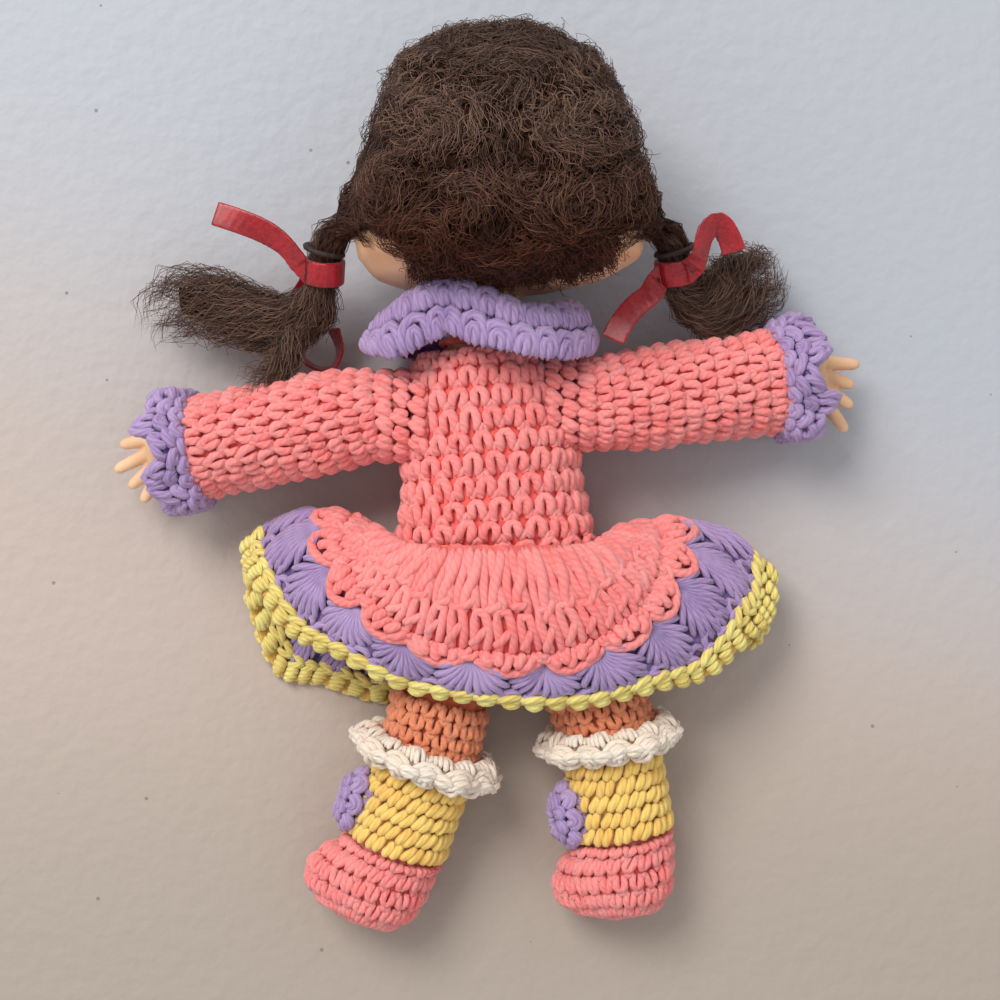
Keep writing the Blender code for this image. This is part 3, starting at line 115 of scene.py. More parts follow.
class Tree:
    """A short way to add nodes and wires, for shaders and for geometry."""

    def __init__(self, tree):
        self.tree = tree

    def add(self, kind, settings=None, **inputs):
        node = self.tree.nodes.new(kind)
        for name, value in (settings or {}).items():
            setattr(node, name, value)
        for name, value in inputs.items():
            self.put(node, name.replace("_", " "), value)
        return node

    def put(self, node, name, value):
        wanted = name.lower().replace(" ", "")
        for socket in node.inputs:
            if socket.enabled and wanted in (socket.name.lower().replace(" ", ""), socket.identifier.lower()):
                return self.feed(socket, value)
        raise KeyError(name)

    def feed(self, socket, value):
        if isinstance(value, bpy.types.NodeSocket):
            self.tree.links.new(value, socket)
        elif isinstance(value, bpy.types.Node):
            self.tree.links.new(next(s for s in value.outputs if s.enabled), socket)
        else:
            socket.default_value = value

    def math(self, operation, *values):
        node = self.tree.nodes.new("ShaderNodeMath")
        node.operation = operation
        for socket, value in zip(node.inputs, values):
            self.feed(socket, value)
        return node.outputs[0]

    def times(self, *values):
        return self.math("MULTIPLY", *values)

    def plus(self, *values):
        return self.math("ADD", *values)

    def minus(self, *values):
        return self.math("SUBTRACT", *values)

    def over(self, *values):
        return self.math("DIVIDE", *values)

    def vector(self, operation, *values):
        node = self.tree.nodes.new("ShaderNodeVectorMath")
        node.operation = operation
        for socket, value in zip([s for s in node.inputs if s.enabled], values):
            self.feed(socket, value)
        return next(s for s in node.outputs if s.enabled)

    def xyz(self, x, y, z):
        return self.add("ShaderNodeCombineXYZ", X=x, Y=y, Z=z).outputs[0]

    def split(self, place):
        return self.add("ShaderNodeSeparateXYZ", Vector=place).outputs

    def on_table(self, place, least):
        """The place, but not lower than the table's height."""
        x, y, z = self.split(place)
        return self.xyz(x, y, self.math("MAXIMUM", z, least))

    def object_place(self):
        return self.add("ShaderNodeTexCoord").outputs["Object"]

    def cloud(self, place, scale, detail=2.0, output=0, **more):
        return self.add("ShaderNodeTexNoise", Vector=place, Scale=scale, Detail=detail, **more).outputs[output]

    def attribute(self, name):
        return self.add("ShaderNodeAttribute", {"attribute_name": name}).outputs["Fac"]

    def named(self, name, kind="FLOAT_VECTOR"):
        return self.add("GeometryNodeInputNamedAttribute", {"data_type": kind}, Name=name).outputs[0]

    def store(self, name, kind, domain, geometry, value):
        return self.add("GeometryNodeStoreNamedAttribute", {"data_type": kind, "domain": domain},
                        Geometry=geometry, Name=name, Value=value)

    def chance(self, low, high, seed, extra, **more):
        """A random value for each element, from the tree's seed and a number of its own."""
        seed = self.plus(seed, extra) if extra else seed
        return self.add("FunctionNodeRandomValue", Min=low, Max=high, Seed=seed, **more).outputs["Value"]

    def scaled(self, vector, factor):
        done = self.vector("SCALE", vector)
        self.feed(done.node.inputs["Scale"], factor)
        return done

    def mix(self, factor, low, high):
        node = self.tree.nodes.new("ShaderNodeMix")
        node.data_type = "RGBA"
        self.feed(node.inputs["Factor"], factor)
        colours = [s for s in node.inputs if s.type == "RGBA"]
        self.feed(colours[0], low)
        self.feed(colours[1], high)
        return next(s for s in node.outputs if s.type == "RGBA")

    def ramp(self, value, low, high):
        """0 below low and 1 above high, with a smooth step between."""
        node = self.add("ShaderNodeMapRange", {"interpolation_type": "SMOOTHSTEP"})
        for socket, found in zip(node.inputs, (value, low, high)):
            self.feed(socket, found)
        return node.outputs[0]


def new_material(name):
    """An empty material with its Principled shader and its output."""
    material = bpy.data.materials.new(name)
    material.use_nodes = True
    material.node_tree.nodes.clear()
    tree = Tree(material.node_tree)
    shader = tree.add("ShaderNodeBsdfPrincipled")
    tree.add("ShaderNodeOutputMaterial", Surface=shader.outputs[0])
    return material, tree, shader


def settle(shader, **values):
    """Sets inputs of a shader by name, with _ for a space."""
    for name, value in values.items():
        shader.inputs[name.replace("_", " ")].default_value = value


def bump(tree, shader, height, distance, strength=1.0):
    node = tree.add("ShaderNodeBump", Height=height, Distance=distance, Strength=strength)
    tree.feed(shader.inputs["Normal"], node.outputs[0])


print("helpers ready")

# %% [markdown]
# The table is a pale laminate: nearly white, with a soft pebbled skin and a few dark specks. Light is painted on
# it: cooler towards the window, warmer and a little darker away from it, and painted shade darkens the bottom
# edge. It isn't part of the doll.

# %% Table
FLOOR_SIZE = 6.0
# Painted light on the table: the cool colour where the window lights it, the warm one further away, and the low one
# painted shade at the bottom edge.
FLOOR_COOL_LIT = srgb(176, 181, 190)
FLOOR_WARM_SHADE = srgb(190, 171, 158)
FLOOR_LOW_SHADE = srgb(170, 157, 145)
FLOOR_SPECK = srgb(120, 108, 100)


def floor_material():
    material, tree, shader = new_material("table_laminate")
    place = tree.object_place()
    x, y, _ = tree.split(place)
    # Painted light and shade: the warm colour grows away from the window towards the bottom, and the low colour
    # darkens the bottom edge.
    slope = tree.minus(tree.times(x, -0.3), y)
    warm = tree.ramp(slope, -0.07, 0.06)
    cloud = tree.cloud(place, 9.0, 3.0)
    base = tree.mix(tree.plus(tree.times(warm, 0.8), tree.times(cloud, 0.2)), FLOOR_COOL_LIT, FLOOR_WARM_SHADE)
    base = tree.mix(tree.ramp(tree.times(y, -1.0), 0.02, 0.12), base, FLOOR_LOW_SHADE)
    cells = tree.add("ShaderNodeTexVoronoi", Vector=place, Scale=95.0)
    small = tree.math("LESS_THAN", cells.outputs["Distance"], 0.045)
    pick = tree.add("ShaderNodeSeparateColor", Color=cells.outputs["Color"]).outputs[0]
    few = tree.math("GREATER_THAN", pick, 0.6)
    speck = tree.times(tree.times(small, few), 0.7)
    tree.feed(shader.inputs["Base Color"], tree.mix(speck, base, FLOOR_SPECK))
    settle(shader, Roughness=0.6)
    pebbles = tree.cloud(place, 230.0)
    bump(tree, shader, pebbles, 0.7 * MM, 0.55)
    return material


floor_mesh = bpy.data.meshes.new("table")
half = FLOOR_SIZE / 2
floor_mesh.from_pydata([(-half, -half, 0), (half, -half, 0), (half, half, 0), (-half, half, 0)], [], [(0, 1, 2, 3)])
floor_mesh.materials.append(floor_material())
floor = new_object("table", floor_mesh)
print("table", FLOOR_SIZE, "metres")

# %% [markdown]
# ## Light
# One big soft lamp stands up and to the left, as a window does, and an even world fills the shadows.

# %% Light
KEY_PLACE = Vector((-0.55, 0.75, 1.25))
KEY_SIZE = 0.7
KEY_POWER = 17.5
WORLD_STRENGTH = 0.68

key_data = bpy.data.lights.new("window", "AREA")
key_data.size = KEY_SIZE
key_data.energy = KEY_POWER
key_data.color = (1.0, 0.985, 0.96)
key = new_object("window", key_data)
key.location = KEY_PLACE
key.rotation_euler = (-KEY_PLACE).to_track_quat("-Z", "Y").to_euler()
world = bpy.data.worlds.new("room")
world.use_nodes = True
world.node_tree.nodes["Background"].inputs["Color"].default_value = (0.96, 0.98, 1.0, 1.0)
world.node_tree.nodes["Background"].inputs["Strength"].default_value = WORLD_STRENGTH
bpy.context.scene.world = world
print("lamps", 1)

# %% [markdown]
# ## Yarn as a material
# Acrylic yarn is a bundle of plies that twist round each other, with loose fibres that catch the light. The
# stitches carry a UV map that runs along the strand and round it, so the plies can be drawn as a slanting
# wave, the fibres as noise stretched along the strand, and the fuzz as sheen.

# %% Yarn
STRAND_MAP = "strand"
PLY_TWIST = 5.5 * MM
PLY_COUNT = 3.0


def yarn_material(name, colour, deep, plies=PLY_COUNT, twist=PLY_TWIST, contrast=0.3, sheen=0.25, relief=0.75):
    material, tree, shader = new_material(name)
    strand = tree.add("ShaderNodeUVMap", {"uv_map": STRAND_MAP}).outputs[0]
    along, around, _ = tree.split(strand)
    turn = tree.plus(tree.over(along, twist / MM), around)
    wave = tree.math("SINE", tree.times(turn, TAU * plies))
    ply = tree.math("MULTIPLY_ADD", wave, 0.5, 0.5)
    fibre_place = tree.xyz(tree.times(along, 0.55), tree.times(turn, 26.0), 0.0)
    fibre = tree.cloud(fibre_place, 1.0, 3.0, Roughness=0.6)
    place = tree.object_place()
    patch = tree.cloud(place, 260.0)
    tone = tree.attribute("tone")
    # The ply wave pulls the colour towards the deep colour in the grooves between plies, which is painted shade;
    # the fibres, the patches and each stitch's tone are the yarn's own uneven colour.
    light = tree.plus(tree.times(tree.math("POWER", ply, 0.6), contrast), tree.times(fibre, 0.55))
    light = tree.plus(light, tree.math("MULTIPLY_ADD", patch, 0.5, 0.25 - contrast))
    light = tree.plus(light, tree.math("MULTIPLY_ADD", tone, 0.24, -0.12))
    tree.feed(shader.inputs["Base Color"], tree.mix(tree.ramp(light, 0.1, 0.95), deep, colour))
    settle(shader, Roughness=0.9, Specular_IOR_Level=0.12, Subsurface_Weight=0.25,
           Subsurface_Radius=(1.0, 0.45, 0.4), Subsurface_Scale=1.2 * MM, Sheen_Weight=sheen,
           Sheen_Roughness=0.45)
    height = tree.plus(tree.times(ply, 0.45), tree.times(fibre, 0.8))
    bump(tree, shader, height, 0.4 * MM, relief)
    return material


# Each yarn's second colour is its deep tone: painted shade in the grooves between plies, and the yarn's own uneven
# colour where random patches lean to it.
CORAL = yarn_material("coral_yarn", srgb(255, 157, 153), srgb(253, 106, 104), contrast=0.22)
LILAC = yarn_material("lilac_yarn", srgb(182, 156, 198), srgb(130, 101, 150), 5.0, 16 * MM, 0.25, relief=0.5)
YELLOW = yarn_material("yellow_yarn", srgb(248, 230, 142), srgb(216, 180, 88), 4.0, 12 * MM, 0.35)
# The boots take the yellow yarn painted deeper and warmer: painted shade on the boots.
YELLOW_SHADED = yarn_material("golden_yarn", srgb(252, 216, 124), srgb(230, 170, 80), 4.0, 12 * MM, 0.25)
ORANGE = yarn_material("orange_yarn", srgb(242, 156, 116), srgb(216, 112, 74), contrast=0.24)
WHITE = yarn_material("white_yarn", srgb(251, 234, 217), srgb(232, 206, 184), 4.0, 10 * MM, 0.25)
print("yarn colours", 6)

# %% [markdown]
# ## One tree that crochets on any surface
# Crochet is one small shape, worked over and over in rounds. So the tree starts from a pattern, a few bent
# lines drawn in stitch units, and repeats it in columns and rows on a flat sheet. Then it moves each point
# onto a guide surface: across and along through the guide's UV map, and out along the guide's normal. Only
# then do the lines become tubes, so the yarn has the same thickness everywhere. An instanced mesh would
# stretch with the surface instead.

# %% The crochet tree
GUIDE_MAP = "rounds"
GUIDE_OUT = "out"
EDGE_MARGIN = 0.0005


def float_in(tree, name, value, kind="NodeSocketFloat"):
    socket = tree.interface.new_socket(name, in_out="INPUT", socket_type=kind)
    if value is not None:
        socket.default_value = value
    return socket


def crochet_tree():
    group = bpy.data.node_groups.new("crochet", "GeometryNodeTree")
    group.interface.new_socket("Geometry", in_out="OUTPUT", socket_type="NodeSocketGeometry")
    group.interface.new_socket("Pattern", in_out="INPUT", socket_type="NodeSocketGeometry")
    float_in(group, "Guide", None, "NodeSocketObject")
    for name, value in (("Columns", 20), ("Rows", 10), ("Seed", 1), ("Sides", 6), ("Rings", 10)):
        float_in(group, name, value, "NodeSocketInt")
    for name, value in (("Start", 0.0), ("End", 1.0), ("Stagger", 0.5), ("Depth", 0.0), ("Lift", MM),
                        ("Yarn Radius", MM), ("Unevenness", 0.3 * MM), ("Table", 0.1 * MM), ("Shift", 0.0)):
        float_in(group, name, value)
    float_in(group, "Round Rows", False, "NodeSocketBool")
    float_in(group, "Material", None, "NodeSocketMaterial")
    t = Tree(group)
    given = t.add("NodeGroupInput").outputs

    index = t.add("GeometryNodeInputIndex").outputs[0]
    row = t.math("FLOOR", t.over(t.plus(index, 0.5), given["Columns"]))
    column = t.minus(index, t.times(row, given["Columns"]))
    spot = t.xyz(t.plus(column, t.plus(t.times(row, given["Stagger"]), given["Shift"])), row, 0.0)
    count = t.times(given["Columns"], given["Rows"])
    points = t.add("GeometryNodePoints", Count=count, Position=spot)
    tilt = t.chance(-0.2, 0.2, given["Seed"], 0)
    size = t.chance(0.88, 1.12, given["Seed"], 1)
    copies = t.add("GeometryNodeInstanceOnPoints", Points=points, Instance=given["Pattern"],
                   Rotation=t.xyz(0.0, 0.0, tilt), Scale=t.xyz(1.0, size, size))
    toned = t.store("tone", "FLOAT", "INSTANCE", copies, t.chance(0.0, 1.0, given["Seed"], 2))
    lines = t.add("GeometryNodeRealizeInstances", Geometry=toned)

    place = t.add("GeometryNodeInputPosition").outputs[0]
    x, y, z = t.split(place)
    across = t.math("FRACT", t.over(t.plus(x, 0.5), given["Columns"]))
    share = t.over(t.plus(y, 0.5), given["Rows"])
    share = t.plus(given["Start"], t.times(share, t.minus(given["End"], given["Start"])))
    pick = t.tree.nodes.new("GeometryNodeSwitch")
    pick.input_type = "FLOAT"
    t.feed(pick.inputs[0], given["Round Rows"])
    t.feed(pick.inputs[1], share)
    t.feed(pick.inputs[2], t.math("FRACT", share))
    inside = [t.math("MINIMUM", t.math("MAXIMUM", value, EDGE_MARGIN), 1 - EDGE_MARGIN)
              for value in (across, pick.outputs[0])]
    where = t.xyz(inside[0], inside[1], 0.0)
    guide = t.add("GeometryNodeObjectInfo", Object=given["Guide"]).outputs["Geometry"]
    guide_map = t.named(GUIDE_MAP)
    guide_out = t.named(GUIDE_OUT)
    found = []
    for value in (t.add("GeometryNodeInputPosition").outputs[0], guide_out):
        sample = t.add("GeometryNodeSampleUVSurface", {"data_type": "FLOAT_VECTOR"}, Mesh=guide, Value=value)
        t.feed(sample.inputs["UV Map"], guide_map)
        t.feed(sample.inputs["Sample UV"], where)
        found.append(next(s for s in sample.outputs if s.enabled))
    height = t.plus(given["Depth"], t.times(z, given["Lift"]))
    seated = t.vector("ADD", found[0], t.scaled(found[1], height))
    stray = t.vector("SUBTRACT", t.cloud(seated, 190.0, 1.0, "Color"), (0.5, 0.5, 0.5))
    wobble = t.scaled(stray, t.times(given["Unevenness"], 2.0))
    worked = t.add("GeometryNodeSetPosition", Geometry=lines, Position=t.vector("ADD", seated, wobble))

    strands = t.add("GeometryNodeMeshToCurve", Mesh=worked)
    smooth = t.add("GeometryNodeCurveSplineType", {"spline_type": "CATMULL_ROM"}, Curve=strands)
    even = t.add("GeometryNodeResampleCurve", Curve=smooth, Count=given["Rings"])
    factor = t.add("GeometryNodeSplineParameter").outputs["Factor"]
    ends = t.math("MINIMUM", factor, t.minus(1.0, factor))
    taper = t.math("SQRT", t.math("MINIMUM", t.times(ends, 9.0), 1.0))
    thick = t.named("thick", "FLOAT")
    radius = t.times(t.times(thick, taper), given["Yarn Radius"])
    profile = t.add("GeometryNodeCurveArc", Resolution=t.plus(given["Sides"], 1), Radius=1.0, Sweep_Angle=TAU)
    tube = tube_nodes(t, even, profile, radius)
    corner = t.add("GeometryNodeInputPosition").outputs[0]
    rest = t.add("GeometryNodeSetPosition", Geometry=tube, Position=t.on_table(corner, given["Table"]))
    painted = t.add("GeometryNodeSetMaterial", Geometry=rest, Material=given["Material"])
    t.add("NodeGroupOutput", Geometry=painted)
    return group


def tube_nodes(t, curve, profile, radius):
    """Turns lines into closed tubes with a map along and round them. Used by every tree that draws strands."""
    rail = t.add("GeometryNodeCaptureAttribute", Geometry=curve)
    rail.capture_items.new("FLOAT", "along")
    t.feed(rail.inputs[1], t.add("GeometryNodeSplineParameter").outputs["Length"])
    hoop = t.add("GeometryNodeCaptureAttribute", Geometry=profile)
    hoop.capture_items.new("FLOAT", "around")
    t.feed(hoop.inputs[1], t.add("GeometryNodeSplineParameter").outputs["Factor"])
    tube = t.add("GeometryNodeCurveToMesh", Curve=rail.outputs[0], Profile_Curve=hoop.outputs[0], Scale=radius)
    strand = t.xyz(t.over(rail.outputs[1], MM), hoop.outputs[1], 0.0)
    mapped = t.store(STRAND_MAP, "FLOAT2", "CORNER", tube, strand)
    closed = t.add("GeometryNodeMergeByDistance", Geometry=mapped, Distance=0.002 * MM)
    return t.add("GeometryNodeSetShadeSmooth", Geometry=closed).outputs[0]


CROCHET = crochet_tree()
print("crochet tree", len(CROCHET.nodes), "nodes")


# %% Patterns and guides
def line_object(name, lines, lowest=0.0):
    """A mesh of loose edges. A point has its place across, along and out, and the strand's thickness there.
    Lowest is where the row starts in the drawing: 0, or -0.5 for a pattern that is drawn round its middle."""
    points, edges, sizes = [], [], []
    for line in lines:
        first = len(points)
        points += [(x, y - lowest - 0.5, z) for x, y, z, _ in line]
        edges += [(first + k, first + k + 1) for k in range(len(line) - 1)]
        sizes += [point[3] for point in line]
    mesh = bpy.data.meshes.new(name)
    mesh.from_pydata(points, edges, [])
    mesh.attributes.new("thick", "FLOAT", "POINT").data.foreach_set("value", sizes)
    done = new_object(name, mesh)
    done.hide_render = True
    return done


def drawn(name, strands, lowest=0.0):
    """A pattern whose points are written in hundredths of a stitch."""
    return line_object(name, [[tuple(v / 100 for v in point) for point in strand] for strand in strands], lowest)


GRIDS = {}


def quad(j, i, rows, sides):
    """The face of a grid that starts at row j and side i."""
    k, above = (i + 1) % sides, (j + 1) % rows
    return j * sides + i, j * sides + k, above * sides + k, above * sides + i


def guide_object(name, grid, wrap_rows=False):
    """A closed round of quads with a UV map: across is round the piece, and along follows its rows."""
    grid = np.array(grid, float)
    rows, sides = grid.shape[:2]
    steps = np.linalg.norm(np.diff(grid, axis=0), axis=2).mean(axis=1)
    along = np.concatenate([[0.0], np.cumsum(steps)])
    length = along[-1]
    if wrap_rows:
        length += np.linalg.norm(grid[0] - grid[-1], axis=1).mean()
    round_way = np.roll(grid, -1, axis=1) - np.roll(grid, 1, axis=1)
    if wrap_rows:
        row_way = np.roll(grid, -1, axis=0) - np.roll(grid, 1, axis=0)
    else:
        row_way = np.gradient(grid, axis=0)
    out = np.cross(round_way, row_way)
    out /= np.maximum(np.linalg.norm(out, axis=2, keepdims=True), 1e-12)
    faces, corners = [], []
    for j in range(rows if wrap_rows else rows - 1):
        low, high = along[j] / length, (along[j + 1] if j + 1 < rows else length) / length
        for i in range(sides):
            faces.append(quad(j, i, rows, sides))
            corners += [(i / sides, low), ((i + 1) / sides, low), ((i + 1) / sides, high), (i / sides, high)]
    mesh = bpy.data.meshes.new(name)
    mesh.from_pydata(grid.reshape(-1, 3).tolist(), [], faces)
    mesh.uv_layers.new(name=GUIDE_MAP).data.foreach_set("uv", np.array(corners).ravel())
    mesh.attributes.new(GUIDE_OUT, "FLOAT_VECTOR", "POINT").data.foreach_set("vector", out.ravel())
    done = new_object(name, mesh)
    done.hide_render = True
    GRIDS[name] = grid, out, along / length
    done["length"], done["round"] = float(length), float(np.linalg.norm(round_way, axis=2).sum(axis=1).max() / 2)
    return done


def new_piece(name, mesh, body, replaced):
    """A piece that shows: it rides on a body and stands for the CAD nodes that it replaces, which are hidden."""
    piece = new_object(name, mesh)
    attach(piece, body)
    if replaced:
        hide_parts(*replaced)
    print(name, sum(len(p.vertices) - 2 for p in mesh.polygons), "triangles")
    return piece


def run_tree(name, source, group, settings, body, replaced=()):
    """Runs a tree on source, keeps the result as a plain mesh and removes the modifier."""
    modifier = source.modifiers.new(group.name, "NODES")
    modifier.node_group = group
    for item in group.interface.items_tree:
        if item.item_type == "SOCKET" and item.in_out == "INPUT" and item.name in settings:
            modifier[item.identifier] = settings[item.name]
    bpy.context.view_layer.update()
    graph = bpy.context.evaluated_depsgraph_get()
    mesh = bpy.data.meshes.new_from_object(source.evaluated_get(graph), depsgraph=graph)
    source.modifiers.remove(modifier)
    mesh.name = name
    return new_piece(name, mesh, body, replaced)


# %% Single crochet
# The arch of a single crochet: up one leg, over the top and down the other. The feet go under the row before.
# Two short strands between the arches: the top of the stitch below.
single = drawn('single_crochet', (
    ((-10, -58, -50, 70), (-22, -40, 50, 90), (-27, -8, 110, 110), (-20, 20, 120, 110), (0, 33, 70, 90),
     (20, 20, 120, 110), (27, -8, 110, 110), (22, -40, 50, 90), (10, -58, -50, 70)),
    ((28, -66, 10, 70), (36, -46, 60, 85), (48, -30, 60, 85), (56, -34, 10, 70)),
    ((46, -34, 10, 70), (54, -30, 60, 85), (64, -46, 60, 85), (72, -66, 10, 70))), lowest=-0.5)
print("patterns drawn")


# %% Guides for the stuffed pieces
def node_tree_of(names):
    """The outside of some CAD nodes, ready for rays."""
    points, faces = [], []
    for name in names:
        mesh = frame["nodes"][name].data
        first = len(points)
        points += [v.co.copy() for v in mesh.vertices]
        faces += [[first + k for k in p.vertices] for p in mesh.polygons]
    return BVHTree.FromPolygons(points, faces)


RAY_START = 90.0 * MM


def wrapped(names, stations, across, sides):
    """Rays from outside towards each station find the CAD surface. A station is a middle, an axis and a tilt."""
    tree = node_tree_of(names)
    grid = []
    for middle, axis, tilt in stations:
        side = (across - axis * across.dot(axis)).normalized()
        up = axis.cross(side).normalized()
        lean = math.radians(tilt)
        row = []
        for i in range(sides):
            angle = TAU * i / sides
            out = (side * math.cos(angle) + up * math.sin(angle)) * math.cos(lean) + axis * math.sin(lean)
            hit = tree.ray_cast(middle + out * RAY_START, -out)[0]
            row.append(hit if hit is not None else middle)
        grid.append(row)
    return grid


def capsule_stations(start, end, dome=0, start_tilt=-78.0, rows=14):
    """Stations along a straight limb. The first ones turn round the ball at its start."""
    axis = (end - start).normalized()
    found = [(start, axis, start_tilt * (1 - i / dome)) for i in range(dome)] if dome else []
    return found + [(start.lerp(end, i / rows), axis, 0.0) for i in range(rows + 1)]


def underlayer(name, guide, depth, yarn, body, replaced):
    """The plain, padded layer under the stitches: the guide drawn in a little, with its ends closed."""
    # It wears the second material of its yarn, darker than the yarn: painted shade under the stitches or the hair.
    _, material, slot = YARNS[yarn]
    mesh = guide.data.copy()
    mesh.name = name
    out = np.zeros(len(mesh.vertices) * 3)
    mesh.attributes[GUIDE_OUT].data.foreach_get("vector", out)
    points = np.zeros(len(mesh.vertices) * 3)
    mesh.vertices.foreach_get("co", points)
    points = points.reshape(-1, 3) - out.reshape(-1, 3) * depth
    points[:, 2] = np.maximum(points[:, 2], 0.1 * MM)
    mesh.vertices.foreach_set("co", points.ravel())
    work = bmesh.new()
    work.from_mesh(mesh)
    bmesh.ops.holes_fill(work, edges=[e for e in work.edges if e.is_boundary], sides=0)
    bmesh.ops.recalc_face_normals(work, faces=work.faces)
    work.to_mesh(mesh)
    work.free()
    mesh.shade_smooth()
    mesh.materials.clear()
    mesh.materials.append(material)
    piece = new_piece(name, mesh, body, replaced)
    return piece


YARNS = {}
# A single crochet needs fewer sides and rings than the bolder stitches.
PLAIN = {"Sides": 5, "Rings": 10}


def crochet(name, pattern, guide, yarn, body, columns, rows, depth, lift, radius, start, end, uneven, seed, **more):
    """Works a pattern on a guide. Depth, lift, yarn radius and unevenness are in millimetres."""
    material, _, slot = YARNS[yarn]
    settings = {"Guide": guide, "Material": material, "Columns": columns, "Rows": rows, "Start": start, "End": end,
                "Depth": depth * MM, "Lift": lift * MM, "Yarn Radius": radius * MM, "Unevenness": uneven * MM,
                "Seed": seed}
    settings.update({key.replace("_", " "): value for key, value in more.items()})
    return run_tree(name, pattern, CROCHET, settings, body)


def square_to(way):
    """Two directions at right angles to a way: a level one, and one that points up or down."""
    across = way.cross(Z).normalized()
    return across, across.cross(way).normalized()


print("guides ready")

# %% [markdown]
# ## The bodice
# The stuffed bodice is worked in rounds from the hips to the neck. Under the stitches lies a padded layer, which
# shows through the small holes in a darker tone of the yarn: painted shade for the holes.

# %% Bodice
def lining_shade_material(name, colour, deep):
    material, tree, shader = new_material(name)
    place = tree.object_place()
    blobs = tree.cloud(place, 420.0, 3.0)
    # The lining is darker than its yarn: painted shade for the holes between stitches, mottled at random between
    # the two colours.
    tree.feed(shader.inputs["Base Color"], tree.mix(tree.ramp(blobs, 0.35, 0.65), deep, colour))
    settle(shader, Roughness=0.95, Sheen_Weight=0.2)
    bump(tree, shader, blobs, 0.8 * MM, 0.8)
    return material


# Each yarn, its material, and the two colours of its lining, which are darker than the yarn as painted shade.
LINING_SHADE_COLOURS = (
    ("coral", CORAL, (250, 116, 108), (230, 92, 86)), ("orange", ORANGE, (214, 112, 74), (186, 90, 54)),
    ("yellow", YELLOW, (232, 188, 98), (206, 160, 76)), ("lilac", LILAC, (136, 110, 162), (98, 76, 126)),
    ("white", WHITE, (222, 192, 166), (188, 156, 130)))
for yarn, material, colour, deep in LINING_SHADE_COLOURS:
    lining = lining_shade_material(yarn + "_lining", srgb(*colour), srgb(*deep))
    YARNS[yarn] = material, lining, yarn + "_yarn"
YARNS["golden"] = YELLOW_SHADED, *YARNS["yellow"][1:]

TORSO_LEAN = math.radians(4.5)
TORSO_INSET = 6.0 * MM
TORSO_ROWS = 26
torso_low, torso_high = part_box("bodice")


def torso_middle(y):
    return Vector((-math.tan(TORSO_LEAN) * y, y, (torso_high[2] - torso_low[2]) / 2))


torso_axis = Vector((-math.tan(TORSO_LEAN), 1, 0)).normalized()
first, last = torso_low[1] + TORSO_INSET, torso_high[1]
stations = [(torso_middle(first), torso_axis, -72.0 + 18.0 * i) for i in range(4)]
stations += [(torso_middle(first + (last - first - 0.4 * MM) * i / TORSO_ROWS), torso_axis, 0.0)
             for i in range(TORSO_ROWS + 1)]
torso_guide = guide_object("torso_guide", wrapped(["bodice"], stations, X, 72))
print("torso round", round(torso_guide["round"], 4), "length", round(torso_guide["length"], 4))
underlayer("bodice_lining", torso_guide, 1.6 * MM, "coral", "torso", ["bodice", "body_stuffing"])
crochet("bodice_stitches", single, torso_guide, "coral", "torso", 23, 15, -1.3, 0.8, 1.14, 0.01, 0.995, 0.8, 3,
        **PLAIN)

# %% [markdown]
# ## Sleeves, thighs, boots and shoes
# The limbs are tubes of the same stitch, smaller and tighter than the bodice. Each has a ball at its start,
# so its guide turns round that ball first and then runs straight. The boots are worked in a slanted stitch.

# %% Arms
joints = {j["name"]: j for j in frame["joints"]}
ARM_LENGTH = 42.0 * MM
# The least radius of each row of the shoulder seam, and the most for all of them (mm).
SEAM_LEAST, SEAM_MOST = (11.4, 10.7, 10.3, 10.2, 10.2, 10.2), 12.0
SIDE_SIGN = {"left": -1, "right": 1}
slant = drawn('slanted_stitch', (
    ((-34, -55, 0, 80), (-22, -18, 90, 110), (0, 18, 100, 110), (16, 50, 30, 80)),
    ((10, -55, 0, 80), (22, -18, 90, 110), (42, 18, 100, 110), (56, 50, 30, 80))), lowest=-0.5)
tip = drawn('sleeve_tip', (
    ((-42, 0, 20, 90), (-36, 55, 90, 110), (0, 98, 50, 110), (34, 60, 90, 110), (38, 0, 20, 90)),
    ((-10, 0, 80, 80), (-8, 50, 130, 100), (12, 45, 120, 100), (14, 0, 70, 80))))
whip = drawn('whip_stitch', (
    ((-30, -5, -40, 80), (-16, 25, 60, 110), (10, 65, 80, 110), (32, 100, -20, 80)),
    ((5, 0, -30, 80), (30, 30, 50, 100), (55, 80, 30, 80))))

